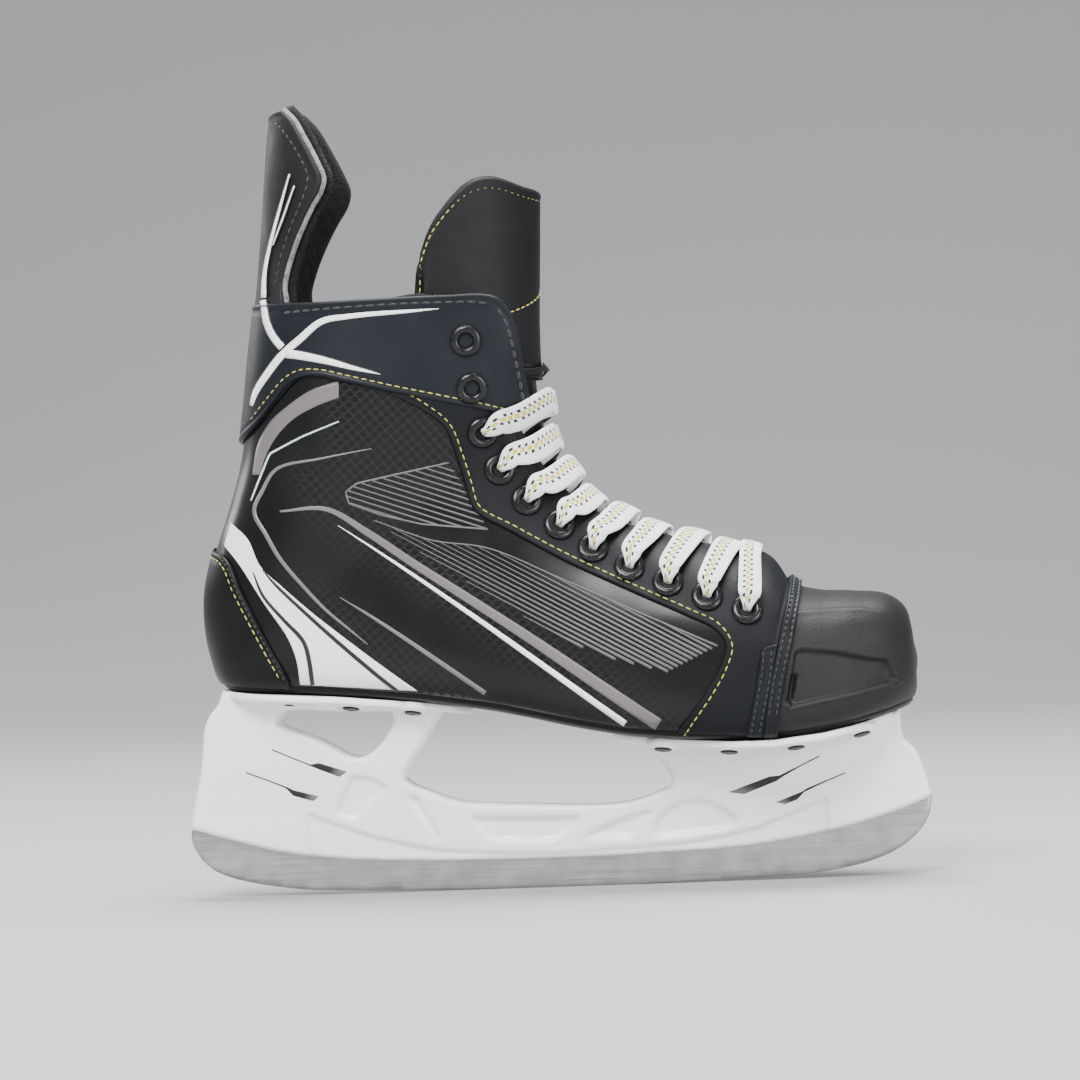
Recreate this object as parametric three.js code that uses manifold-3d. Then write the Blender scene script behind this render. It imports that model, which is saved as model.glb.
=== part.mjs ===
// Right-foot ice hockey skate: a moulded boot on a plastic holder that carries a steel runner.
// Millimetres. +X points to the toe, -Y to the outer (lateral) side, +Z up.
// The origin is on the ice, under the middle of the runner's flat contact.
import * as THREE from "three";
import { mergeVertices } from "three/addons/utils/BufferGeometryUtils.js";
import Module from "manifold-3d";

const wasm = await Module();
wasm.setup();

// ---------------------------------------------------------------- driving dimensions
const LONG = 297.2 / 297.2; // overall length, over the length that the tables are for
const TALL = 313.6 / 313.6; // overall height, over the height that the tables are for
const GAP = 0.3; // clearance between pieces that touch
const REACH = 90; // sideways reach of a cutting outline

// Layers of the upper, as distances outwards from the last's surface
const SHELL_WALL = 2.8; // quarter shell, from the surface inwards
const LINER_WALL = 2.7; // padded lining inside the shell
const OVERLAY_WALL = 1.3; // leather-like panels sewn over the shell
const BINDING_WALL = 1.0; // strip sewn over the edge of the toe cap
const CAP_PROUD = 0.8; // how far the toe cap stands out from the shell

// Bottom stack, as heights above the sole line
const OUTSOLE_WALL = 3.2;
const OUTSOLE_LIP = 1.2; // how far the outsole stands out all round
const MIDSOLE_WALL = 2.5;
const FOOTBED_WALL = 3.6;
const FOOTBED_LIFT = 1.9; // room for the rivet heads under the footbed

const COLLAR_TOP = 236; // height of the boot's collar
const GUARD_WALL = 2.6;
const GUARD_PROUD = 0.6;
const GUARD_FELT = 3.5;
const GUARD_LIFT = 0.7; // gap at the tendon guard's flex line

const EYELET = { hole: 2.9, barrel: 3.4, flange: 5.6, flangeWall: 1.0, seat: 1.1, seatInside: 1.7, sides: 6 };
const LACED_PAIRS = 9; // eyelet pairs with the lace in, counted from the toe
const LACE = { width: 7.4, thick: 1.4, pinch: 3.2 };

const RIVET = { shank: 2.0, head: 3.8, headWall: 1.2, sides: 6, hole: 2.4 };
const RUNNER = { wall: 3.0, rocker: 2700, flat: 20, rise: 8 };
const HOLDER = { flange: 3.0, slotGap: 0.3, lip: 5.6, waist: 8.2, shoulder: 15.5 };
const BOLT = { shank: 2.5, head: 5.0, headWall: 2.2, fork: 3.9, forkRise: 9, bore: 0.4 };

/** A side-view point of the tables at the skate's own length and height. */
const sized = ([x, z, ...rest]) => [x * LONG, z * TALL, ...rest];

// The last: one row per section from the toe tip to the top of the tendon guard.
// sole x, z | instep x, z | half width | widest place | sole and instep squareness | shift to the inner side
const LAST = [
  [144.6, 80, 144.3, 92, 9, 0.5, 2.4, 2.4, 4],
  [143, 73.5, 142.6, 100, 21, 0.5, 3, 2.6, 4],
  [139, 68.2, 138.2, 107.5, 29.5, 0.48, 3.4, 2.8, 3.8],
  [132, 65.3, 131, 112, 36, 0.46, 4, 3, 3.2],
  [121, 62.4, 120, 113.6, 41, 0.44, 4.4, 3, 2.4],
  [107, 59.8, 107.5, 114.5, 44.5, 0.42, 5, 2.8, 1.6],
  [94, 58.3, 97, 118, 46.5, 0.4, 5, 2.6, 0.8],
  [79, 57.6, 88, 128, 47.5, 0.38, 5, 2.4, 0.2],
  [60, 58.3, 74, 133, 47.5, 0.37, 5, 2.4, 0],
  [38, 60, 56, 138, 46.5, 0.37, 5, 2.4, 0],
  [14, 64, 38.5, 144.5, 44, 0.37, 5, 2.4, 0],
  [-10, 69.8, 25, 151.5, 41.5, 0.38, 5, 2.4, 0],
  [-36, 74.9, 14.5, 161, 39.5, 0.4, 5, 2.5, 0],
  [-66, 78.7, 7, 172, 38, 0.42, 5, 2.7, 0],
  [-97, 81.5, 3, 183, 36.5, 0.44, 4.6, 3.2, 0],
  [-122, 85, 1, 192.5, 36, 0.44, 3.4, 3.8, 0],
  [-134.8, 99, 0, 201, 37, 0.44, 2.6, 4.6, 0],
  [-137.3, 119, -0.3, 209, 38.5, 0.45, 2.3, 5.4, 0],
  [-133.3, 138, -0.6, 217, 40, 0.46, 2.2, 6.2, 0],
  [-127.3, 155, -0.8, 225, 41, 0.47, 2.2, 7, 0],
  [-122, 172.5, -1, 233, 42, 0.48, 2.2, 7, 0],
  [-118.6, 192, -1.5, 241, 42.6, 0.48, 2.2, 7, 0],
  [-115.8, 213, -2, 250, 42.8, 0.48, 2.2, 7, 0],
  [-112.5, 236, -3, 260, 42.4, 0.48, 2.2, 7, 0],
  [-109.3, 260, -4, 272, 41.5, 0.48, 2.2, 7, 0],
  [-106.6, 286, -5, 290, 40.5, 0.48, 2.2, 7, 0],
  [-104.4, 306, -6, 308, 39.5, 0.48, 2.2, 7, 0],
  [-102, 322, -7, 324, 38.5, 0.48, 2.2, 7, 0],
].map((row) => [...sized(row.slice(0, 2)), ...sized(row.slice(2, 4)), ...row.slice(4)]);
const TOP_STATION = LAST.length - 1;

// Side-view outlines, as [x, z]
const SOLE_LINE = [
  [-160, 85.5], [-131, 84], [-118, 82.6], [-85, 80.4], [-50, 76.8], [-20, 72], [6, 65.8], [30, 60.9],
  [52, 58.9], [72, 57.8], [88, 57.9], [107, 59.8], [121, 62.4], [132, 65.3], [150, 71],
].map(sized);
const TOE_CAP_EDGE = [
  [86.5, 50], [88, 63], [91, 80], [94.7, 94.5], [96.5, 103], [98.2, 111], [101, 130],
].map(sized);
const CUFF_BOTTOM = [
  [-3, 184.4], [-20, 190], [-40, 194.8], [-57.5, 199], [-75, 203.6], [-84, 205.9], [-91, 206.2],
  [-96, 204], [-103.5, 196.5], [-111, 188.5], [-140, 186],
].map(sized);
const CUFF_FRONT = [[-16, COLLAR_TOP - 0.4], [-11.5, 233.6], [-8.2, 228], [-6.2, 217], [-5, 202]].map(sized);
const FACING_BACK = [
  [-57, 199], [-45.4, 192], [-36.7, 184.3], [-32.9, 173.6], [-29.8, 162.5], [-26.3, 151.4], [-11.8, 142],
  [10, 129.2], [32.6, 117.9], [55, 107.2], [66.4, 101.2], [70.2, 95], [68.2, 88], [61.9, 77.3], [50, 62],
].map(sized);
const HEEL_COUNTER_EDGE = [
  [-160, 140], [-131, 139], [-127, 137.2], [-123.6, 133.2], [-119.7, 123.6], [-115.5, 114.9], [-107, 97.7],
  [-103.4, 90.5], [-101, 76],
].map(sized);
const GUARD_EDGE = [
  [-98, COLLAR_TOP + GUARD_LIFT], [-98.4, 243], [-96.2, 252], [-92, 262], [-86, 273], [-81.8, 279.5],
  [-80.7, 284], [-83, 290], [-88.6, 301], [-93, 308.5], [-97, 312.6], [-101, 313.6], [-130, 313.6],
].map(sized);
const EYELET_LINE = [[79, 108], [49, 119.5], [21, 133], [-5.5, 153.8], [-15.5, 166], [-22, 182]].map(sized);
const CUFF_EYELETS = [[-25.2, 199.5], [-26.5, 217.9]].map(sized);
// x, distance from the middle
const RIVETS = [
  [-104, 17.6], [-79, 21.5], [-54.5, 21.5], [44, 27], [70, 32], [96, 31], [121.8, 22],
].map(([x, y]) => [x * LONG, y - 5 * (TALL - 1)]); // further in where the sole is steeper
const BOLT_PLACES = { rear: -124 * LONG, front: 108 * LONG };

// ---------------------------------------------------------------- geometry helpers
const v3 = (x, y, z) => new THREE.Vector3(x, y, z);

/** A closed geometry as a manifold-3d solid. */
function solid(geometry, matrix) {
  const bare = new THREE.BufferGeometry().setAttribute("position", geometry.getAttribute("position").clone());
  if (geometry.index) bare.setIndex(geometry.index.clone());
  if (matrix) bare.applyMatrix4(matrix);
  const merged = mergeVertices(bare, 1e-3);
  return new wasm.Manifold(
    new wasm.Mesh({
      numProp: 3,
      vertProperties: merged.attributes.position.array,
      triVerts: new Uint32Array(merged.index.array),
    }),
  );
}

/** A manifold-3d solid as a three.js geometry. */
function geometryOf(body) {
  const mesh = body.getMesh();
  const places = new Float32Array(mesh.numVert * 3);
  for (let i = 0; i < mesh.numVert; i++) {
    places.set(mesh.vertProperties.subarray(i * mesh.numProp, i * mesh.numProp + 3), i * 3);
  }
  return new THREE.BufferGeometry()
    .setAttribute("position", new THREE.BufferAttribute(places, 3))
    .setIndex(new THREE.BufferAttribute(mesh.triVerts, 1));
}

/** Skins a row of closed loops of equal, even length and closes each end with a zigzag of faces. */
function loft(loops) {
  const around = loops[0].length;
  const faces = [];
  loops.slice(1).forEach((_, row) => {
    for (let i = 0; i < around; i++) {
      const a = row * around + i;
      const b = row * around + ((i + 1) % around);
      faces.push(a, b, a + around, b, b + around, a + around);
    }
  });
  [0, loops.length - 1].forEach((row) => {
    const at = (i) => row * around + i;
    const face = (a, b, c) => faces.push(...(row === 0 ? [c, b, a] : [a, b, c]));
    for (let i = 0; i < around / 2 - 1; i++) {
      face(at(i), at(i + 1), at(around - 1 - i));
      face(at(i + 1), at(around - 2 - i), at(around - 1 - i));
    }
  });
  return facingOut(new THREE.BufferGeometry().setFromPoints(loops.flat()).setIndex(faces));
}

/** The geometry with its faces turned round if they point inwards. */
function facingOut(geometry) {
  if (solid(geometry).volume() > 0) return geometry;
  const order = geometry.index.array;
  for (let i = 0; i < order.length; i += 3) [order[i + 1], order[i + 2]] = [order[i + 2], order[i + 1]];
  return geometry;
}

/** A side-view outline of [x, z] points pulled out sideways, from y = -reach to reach. */
function sidePrism(outline, reach = REACH, holes = []) {
  const shape = new THREE.Shape(outline.map(([x, z]) => new THREE.Vector2(x, z)));
  shape.holes = holes.map((hole) => new THREE.Path(hole.map(([x, z]) => new THREE.Vector2(x, z))));
  const geometry = new THREE.ExtrudeGeometry(shape, { depth: 2 * reach, bevelEnabled: false });
  return solid(geometry.rotateX(Math.PI / 2).translate(0, reach, 0));
}

/** A plan outline of [x, y] points pulled up from z = low to high. */
function planPrism(outline, low, high) {
  const shape = new THREE.Shape(outline.map(([x, y]) => new THREE.Vector2(x, y)));
  const geometry = new THREE.ExtrudeGeometry(shape, { depth: high - low, bevelEnabled: false });
  return solid(geometry.translate(0, 0, low));
}

/** A front-view outline of [y, z] points pulled out lengthwise, from x = low to high. */
function frontPrism(outline, low, high) {
  const shape = new THREE.Shape(outline.map(([y, z]) => new THREE.Vector2(y, z)));
  const geometry = new THREE.ExtrudeGeometry(shape, { depth: high - low, bevelEnabled: false });
  return solid(geometry.rotateX(Math.PI / 2).rotateZ(Math.PI / 2).translate(low, 0, 0));
}

/** A smooth line through [x, z] points, as count + 1 points. */
function smooth(points, count) {
  return new THREE.SplineCurve(points.map(([x, z]) => new THREE.Vector2(x, z)))
    .getPoints(count)
    .map((p) => [p.x, p.y]);
}

const lifted = (line, up) => line.map(([x, z]) => [x, z + up]);

/** The side-view region between two heights above the sole line. */
function soleBand(low, high) {
  return sidePrism([...lifted(SOLE_LINE, low), ...lifted(SOLE_LINE, high).reverse()]);
}

/** Everything above a height over the sole line. */
function aboveSole(low) {
  return sidePrism([...lifted(SOLE_LINE, low), ...[[150, 400], [-160, 400]].map(sized)]);
}

// ---------------------------------------------------------------- the last
/** One section of the last between its rows, by a Catmull-Rom spline on each column. */
function section(s) {
  const row = Math.min(Math.max(Math.floor(s), 0), TOP_STATION - 1);
  const t = Math.min(Math.max(s, 0), TOP_STATION) - row;
  const at = (i) => LAST[Math.min(Math.max(i, 0), TOP_STATION)];
  const [a, b, c, d] = [at(row - 1), at(row), at(row + 1), at(row + 2)];
  return b.map((_, i) => {
    const [p, q] = [(c[i] - a[i]) / 2, (d[i] - b[i]) / 2];
    const [cube, square] = [2 * b[i] - 2 * c[i] + p + q, -3 * b[i] + 3 * c[i] - 2 * p - q];
    return ((cube * t + square) * t + p) * t + b[i];
  });
}

/** A point of the last. Angle 0 is the sole or the heel, and plus or minus PI the instep. */
function lastPoint(s, angle) {
  const [soleX, soleZ, instepX, instepZ, half, widest, low, high, shift] = section(s);
  const [along, across] = [Math.cos(angle), Math.sin(angle)];
  const square = along > 0 ? low : high;
  const reach = (Math.abs(along) ** square + Math.abs(across) ** square) ** (-1 / square);
  const share = widest - along * reach * (along > 0 ? widest : 1 - widest);
  return v3(
    soleX + (instepX - soleX) * share,
    shift + half * across * reach,
    soleZ + (instepZ - soleZ) * share,
  );
}

/** The outward direction of the last's surface. */
function lastNormal(s, angle) {
  const step = 0.02;
  const low = Math.max(s - step, 0);
  const high = Math.min(s + step, TOP_STATION);
  const lengthwise = lastPoint(high, angle).sub(lastPoint(low, angle));
  const around = lastPoint(s, angle + step).sub(lastPoint(s, angle - step));
  return lengthwise.cross(around).normalize();
}

const skin = (s, angle, offset = 0) => lastPoint(s, angle).addScaledVector(lastNormal(s, angle), offset);

const STATIONS = [
  0, 0.6, 1.4, 2.6, 4.2, 6, 7, 8.2, 9.4, 10.6, 11.8, 12.9, 13.9, 14.9, 15.9, 17, 18.4, 20.5, 23, 25.4, 27,
];
const HALF_ANGLES = [0, 27, 45, 62, 88, 112, 132, 149, 163].map((degrees) => (degrees * Math.PI) / 180);
const ANGLES = [...HALF_ANGLES, Math.PI, ...HALF_ANGLES.slice(1).map((a) => -a).reverse()];

/** The last grown or shrunk by an offset, as a solid. */
const lastSolid = (offset) => solid(loft(STATIONS.map((s) => ANGLES.map((a) => skin(s, a, offset)))));

/** The layer of the upper between two offsets from the last. */
const layer = (inner, outer) => lastSolid(outer).subtract(lastSolid(inner));

/** The section and angle at which the last's side passes through [x, z] in side view. */
function locate(x, z) {
  let [low, high] = [0, TOP_STATION];
  for (let i = 0; i < 40; i++) {
    const s = (low + high) / 2;
    const [soleX, soleZ, instepX, instepZ] = section(s);
    const beyond = (instepX - soleX) * (z - soleZ) - (instepZ - soleZ) * (x - soleX);
    if (beyond > 0) low = s;
    else high = s;
  }
  const [soleX, soleZ, instepX, instepZ, , widest, square, squareHigh] = section(low);
  const run = v3(instepX - soleX, 0, instepZ - soleZ);
  const share = v3(x - soleX, 0, z - soleZ).dot(run) / run.lengthSq();
  const along = share < widest ? (widest - share) / widest : (widest - share) / (1 - widest);
  const n = share < widest ? square : squareHigh;
  const across = (1 - Math.min(Math.abs(along), 1) ** n) ** (1 / n);
  return { s: low, angle: Math.atan2(across, along) };
}

/** The place and outward direction on one side of the last, side -1 being the outer side. */
function onSide([x, z], side, offset = 0) {
  const { s, angle } = locate(x, z);
  return { place: skin(s, side * angle, offset), normal: lastNormal(s, side * angle), s, angle };
}

// ---------------------------------------------------------------- the throat between the facings
const THROAT = [ // section, half width
  [7.15, 6], [7.4, 13], [7.8, 16], [9, 18.5], [10, 20], [11, 21], [12, 22.5], [13, 24], [14, 26],
  [15, 28.5], [16, 31], [18, 35], [20, 37], [24, 37],
];
const THROAT_DEPTH = 15;

/** The half width of the throat at a section. */
function throatHalf(s) {
  const after = Math.max(THROAT.findIndex(([at]) => at >= s), 1);
  const [[s0, w0], [s1, w1]] = [THROAT[after - 1], THROAT[after]];
  return w0 + ((w1 - w0) * (s - s0)) / (s1 - s0);
}

/** The direction from the instep to the sole in a section, and the instep point. */
function ridge(s) {
  const [soleX, soleZ, instepX, instepZ] = section(s);
  return { top: v3(instepX, 0, instepZ), inward: v3(soleX - instepX, 0, soleZ - instepZ).normalize() };
}

/** The place and outward direction on the instep at a distance y from the middle. */
function onInstep(s, y, offset) {
  const side = y < 0 ? -1 : 1;
  let [low, high] = [Math.PI / 2, Math.PI];
  for (let i = 0; i < 30; i++) {
    const middle = (low + high) / 2;
    if (side * lastPoint(s, side * middle).y > Math.abs(y)) low = middle;
    else high = middle;
  }
  return { place: skin(s, side * low, offset), normal: lastNormal(s, side * low) };
}

function throatSolid() {
  const loops = THROAT.map(([s, half]) => {
    const { top, inward } = ridge(s);
    const outer = top.clone().addScaledVector(inward, -22);
    const inner = top.clone().addScaledVector(inward, THROAT_DEPTH);
    return [[outer, -half], [outer, half], [inner, half], [inner, -half]].map(([p, y]) => v3(p.x, y, p.z));
  });
  return solid(loft(loops));
}

// ---------------------------------------------------------------- eyelets
/** The 11 eyelet places of one side in side view, from the toe up. */
function eyeletPlaces() {
  const line = new THREE.SplineCurve(EYELET_LINE.map(([x, z]) => new THREE.Vector2(x, z)));
  const laced = line.getSpacedPoints(LACED_PAIRS - 1).map((p) => [p.x, p.y]);
  return [...laced, ...CUFF_EYELETS];
}

const OVERLAY_TOP = GAP + OVERLAY_WALL;

function eyeletGeometry() {
  const { hole, barrel, flange, flangeWall, seat, seatInside, sides } = EYELET;
  const under = OVERLAY_TOP + seat;
  const inside = -SHELL_WALL - seatInside;
  const profile = [
    [hole, inside - flangeWall], [flange - 0.5, inside - flangeWall], [flange - 0.5, inside], [barrel, inside],
    [barrel, under], [flange, under], [flange - 0.9, under + flangeWall], [hole, under + flangeWall],
    [hole, inside - flangeWall],
  ];
  return new THREE.LatheGeometry(profile.map(([r, y]) => new THREE.Vector2(r, y)), sides);
}

/** Places a geometry that stands on +Y at a spot of the upper. */
function placed(geometry, { place, normal }) {
  const turn = new THREE.Quaternion().setFromUnitVectors(v3(0, 1, 0), normal);
  return { geometry, position: place, quaternion: turn };
}

function eyeletHoles(side, spots) {
  const drill = new THREE.CylinderGeometry(EYELET.barrel + 0.6, EYELET.barrel + 0.6, 20, 6);
  return spots.map((spot) => {
    const { position, quaternion } = placed(drill, onSide(spot, side));
    return solid(drill, new THREE.Matrix4().compose(position, quaternion, v3(1, 1, 1)));
  });
}

const pierced = (body, drills) => drills.reduce((left, drill) => left.subtract(drill), body);

// ---------------------------------------------------------------- the boot
const QUARTER_OUTLINE = [
  ...TOE_CAP_EDGE.map(([x, z]) => [x - GAP / 2, z]).reverse(),
  ...[[86.5, 40], [-160, 40], [-160, COLLAR_TOP - 0.5]].map(sized), ...CUFF_FRONT,
  ...[[6, 190], [60, 165]].map(sized),
];
const FACING_OUTLINE = [
  ...FACING_BACK.slice(1), sized([50, 50]), ...TOE_CAP_EDGE.map(([x, z]) => [x - GAP / 2, z]),
  ...[[70, 170], [4, 200]].map(sized),
  ...CUFF_BOTTOM.slice(0, 4).map(([x, z]) => [x, z - GAP]),
];
const CUFF_OUTLINE = [...CUFF_BOTTOM, sized([-140, COLLAR_TOP]), ...CUFF_FRONT];
const TOE_OUTLINE = [...TOE_CAP_EDGE.map(([x, z]) => [x + GAP / 2, z]), ...[[170, 130], [170, 50]].map(sized)];

const halfOf = (body, side) => body.trimByPlane([0, side, 0], GAP / 2);

function quarter(side) {
  const walls = layer(-SHELL_WALL, 0)
    .intersect(sidePrism(QUARTER_OUTLINE))
    .intersect(aboveSole(OUTSOLE_WALL + GAP))
    .subtract(throatSolid());
  return pierced(halfOf(walls, side), [...eyeletHoles(side, eyeletPlaces()), ...rivetDrills()]);
}

function facing(side) {
  const panel = layer(GAP, OVERLAY_TOP)
    .intersect(sidePrism(FACING_OUTLINE))
    .intersect(aboveSole(OUTSOLE_WALL + GAP))
    .subtract(throatSolid());
  return pierced(halfOf(panel, side), eyeletHoles(side, eyeletPlaces().slice(0, LACED_PAIRS)));
}

function ankleCuff() {
  const panel = layer(GAP, OVERLAY_TOP).intersect(sidePrism(CUFF_OUTLINE)).subtract(throatSolid());
  return [-1, 1].reduce((left, side) => pierced(left, eyeletHoles(side, CUFF_EYELETS)), panel);
}

function heelCounter() {
  const panel = layer(GAP, OVERLAY_TOP)
    .intersect(sidePrism([...HEEL_COUNTER_EDGE, [-160, 76]]))
    .intersect(aboveSole(OUTSOLE_WALL + GAP));
  return pierced(panel, rivetDrills());
}

function toeCap() {
  const cap = layer(-SHELL_WALL, CAP_PROUD)
    .intersect(sidePrism(TOE_OUTLINE))
    .intersect(aboveSole(OUTSOLE_WALL + GAP));
  return pierced(cap, rivetDrills());
}

function toeBinding() {
  const shifted = (dx) => TOE_CAP_EDGE.map(([x, z]) => [x + dx, z]);
  return layer(OVERLAY_TOP + GAP, OVERLAY_TOP + GAP + BINDING_WALL)
    .intersect(sidePrism([...shifted(-5), ...shifted(1.5).reverse()]))
    .intersect(aboveSole(OUTSOLE_WALL + GAP));
}

const LINER_LIFT = OUTSOLE_WALL + GAP + MIDSOLE_WALL + FOOTBED_LIFT + FOOTBED_WALL + GAP;

/** The lining stops short of the eyelets, so that the lace runs behind the facings. */
function liner(side) {
  const eyelets = smooth(EYELET_LINE, 10).map(([x, z]) => [x - 7.5, z - 7.5]);
  const front = [[-36, COLLAR_TOP - 1], [-36, 200], [-33, 182]].map(sized);
  const back = [[150, 40], [-160, 40], [-160, COLLAR_TOP - 1]].map(sized);
  const toe = [[80, 97], [150, 97]].map(sized);
  const outline = [...back, ...front, ...eyelets.reverse(), ...toe];
  const lining = layer(-SHELL_WALL - GAP - LINER_WALL, -SHELL_WALL - GAP)
    .intersect(sidePrism(outline))
    .intersect(aboveSole(LINER_LIFT));
  return halfOf(lining, side);
}

const rivetPlaces = RIVETS.flatMap(([x, y]) => [-1, 1].map((side) => ({ x, y: side * y, side })));

function soleHeight(x) {
  const after = SOLE_LINE.findIndex(([at]) => at >= x);
  const [[x0, z0], [x1, z1]] = [SOLE_LINE[after - 1], SOLE_LINE[after]];
  return z0 + ((z1 - z0) * (x - x0)) / (x1 - x0);
}

const RIVET_BOTTOM = -GAP - HOLDER.flange;
const RIVET_TOP = OUTSOLE_WALL + GAP + MIDSOLE_WALL;

function rivetGeometry() {
  const { shank, head, headWall, sides } = RIVET;
  const clear = 0.4;
  const profile = [
    [0, RIVET_BOTTOM - clear - headWall], [head - 0.8, RIVET_BOTTOM - clear - headWall],
    [head, RIVET_BOTTOM - clear], [shank, RIVET_BOTTOM - clear], [shank, RIVET_TOP + clear],
    [head - 0.8, RIVET_TOP + clear], [head - 1.4, RIVET_TOP + clear + headWall - 0.2],
    [0, RIVET_TOP + clear + headWall - 0.2],
  ];
  return new THREE.LatheGeometry(profile.map(([r, z]) => new THREE.Vector2(r, z)), sides).rotateX(Math.PI / 2);
}

/** How far the sole leans at x, as a turn about Y. */
const soleLean = (x) => -Math.atan2(soleHeight(x + 3) - soleHeight(x - 3), 6);

function rivetMatrix({ x, y }) {
  const turn = new THREE.Quaternion().setFromEuler(new THREE.Euler(0, soleLean(x), 0));
  return new THREE.Matrix4().compose(v3(x, y, soleHeight(x)), turn, v3(1, 1, 1));
}

function rivetDrills(radius = RIVET.hole, low = -12, high = 12) {
  const drill = new THREE.CylinderGeometry(radius, radius, high - low, 6).rotateX(Math.PI / 2);
  drill.translate(0, 0, (low + high) / 2);
  return rivetPlaces.map((place) => solid(drill, rivetMatrix(place)));
}

function boltDrill(x, radius) {
  const drill = new THREE.CylinderGeometry(radius, radius, 70, 10).rotateX(Math.PI / 2);
  return solid(drill.translate(x, 0, soleHeight(x) + 10));
}

const outsole = () =>
  pierced(lastSolid(OUTSOLE_LIP).intersect(soleBand(0, OUTSOLE_WALL)), [
    ...rivetDrills(),
    ...Object.values(BOLT_PLACES).map((x) => boltDrill(x, BOLT.head + 0.6)),
  ]);

const midsole = () =>
  pierced(
    lastSolid(-SHELL_WALL - GAP).intersect(
      soleBand(OUTSOLE_WALL + GAP, OUTSOLE_WALL + GAP + MIDSOLE_WALL),
    ),
    [...rivetDrills(), ...Object.values(BOLT_PLACES).map((x) => boltDrill(x, BOLT.head + 0.6))],
  );

const FOOTBED_LOW = RIVET_TOP + FOOTBED_LIFT;
const footbed = () =>
  lastSolid(-SHELL_WALL - GAP).intersect(soleBand(FOOTBED_LOW, FOOTBED_LOW + FOOTBED_WALL));

// ---------------------------------------------------------------- tendon guard
const guardRegion = () => sidePrism([...GUARD_EDGE, sized([-130, COLLAR_TOP + GUARD_LIFT])]);
const tendonGuard = () => layer(-GUARD_WALL, GUARD_PROUD).intersect(guardRegion());
const tendonGuardFelt = () =>
  layer(-GUARD_WALL - GAP - GUARD_FELT, -GUARD_WALL - GAP).intersect(guardRegion());

// ---------------------------------------------------------------- tongue
const TONGUE_WALL = 6.5;
const TONGUE_FLEX = { x: 0.2, z: 200 }; // the line on which the upper tongue folds forward
const TONGUE_LOWER = { from: 7.9, to: 18.4, rows: 9, beyond: 8, widest: 30, crown: -3.2, edge: -9, wall: 5.5 };
const TONGUE_UPPER = [ // front x, z, half width, sag
  [TONGUE_FLEX.x, TONGUE_FLEX.z, 29.5, 30], [-0.4, 212, 31, 40], [-0.3, 226, 32.5, 50],
  [1, 256, 33.5, 60], [2.4, 290, 34.5, 60],
].map(sized);
const TONGUE_OUTLINE = [
  [14, 190], [14, 278.2], [-9, 281.8], [-17.5, 283.3], [-21, 282.4], [-26, 279.6], [-31.5, 274],
  [-37.4, 266], [-41.8, 256], [-43.6, 247], [-44.2, 238], [-60, 230], [-60, 190],
].map(sized);
const TONGUE_ARC = [-80, -58, -38, -19, 0, 19, 38, 58, 80].map((degrees) => (degrees * Math.PI) / 180);

/** A crescent-shaped loop of the tongue in the plane of Y and the inward direction. */
function tongueLoop(top, inward, half, sag) {
  const arc = (depth, shrink) =>
    TONGUE_ARC.map((a) =>
      top
        .clone()
        .addScaledVector(inward, depth + (sag - shrink / 2) * (1 - Math.cos(a)))
        .add(v3(0, (half - shrink) * Math.sin(a), 0)),
    );
  return [...arc(0, 0), ...arc(TONGUE_WALL, TONGUE_WALL).reverse()];
}

/** The lower tongue swells up between the facings and dips under their eyelets. */
function tongueLower() {
  const { from, to, rows, beyond, widest, crown, edge, wall } = TONGUE_LOWER;
  const shares = [-1, -0.8, -0.6, -0.42, -0.2, 0, 0.2, 0.42, 0.6, 0.8, 1];
  const loops = Array.from({ length: rows }, (_, row) => {
    const s = from + ((to - from) * row) / (rows - 1);
    const open = throatHalf(s);
    const arc = (depth, narrower) =>
      shares.map((share) => {
        const y = share * (Math.min(open + beyond, widest) - narrower);
        const dip = Math.min(Math.max((Math.abs(y) - open * 0.4) / (open * 0.45), 0), 1);
        return onInstep(s, y, crown + (edge - crown) * dip - depth).place;
      });
    return [...arc(0, 0), ...arc(wall, 3).reverse()];
  });
  return solid(loft(loops)).trimByPlane([0, 0, -1], -(TONGUE_FLEX.z - GAP));
}

function tongueUpper() {
  const loops = TONGUE_UPPER.map(([x, z, half, sag]) => tongueLoop(v3(x, 0, z), v3(-1, 0, 0), half, sag));
  return solid(loft(loops)).intersect(sidePrism(TONGUE_OUTLINE));
}

// ---------------------------------------------------------------- lace
/** Skins a flat band along nodes of { place, across, up, width, thick }. */
function band(nodes) {
  return loft(
    nodes.map(({ place, across, up, width, thick }) =>
      [[-0.5, -0.5], [-0.5, 0.5], [0.5, 0.5], [0.5, -0.5]].map(([w, t]) =>
        place
          .clone()
          .addScaledVector(across, w * width)
          .addScaledVector(up, t * thick),
      ),
    ),
  );
}

/** Gives each path point its direction across the band, from its outward normal and the way it runs. */
function bandNodes(path) {
  return path.map((node, i) => {
    const before = path[Math.max(i - 1, 0)].place;
    const after = path[Math.min(i + 1, path.length - 1)].place;
    const run = after.clone().sub(before).normalize();
    const across = node.across
      ? node.across.clone()
      : node.normal.clone().cross(run).multiplyScalar(node.turn);
    across.addScaledVector(run, -across.dot(run)).normalize();
    return { width: LACE.width, thick: LACE.thick, ...node, across, up: run.clone().cross(across) };
  });
}

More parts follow.
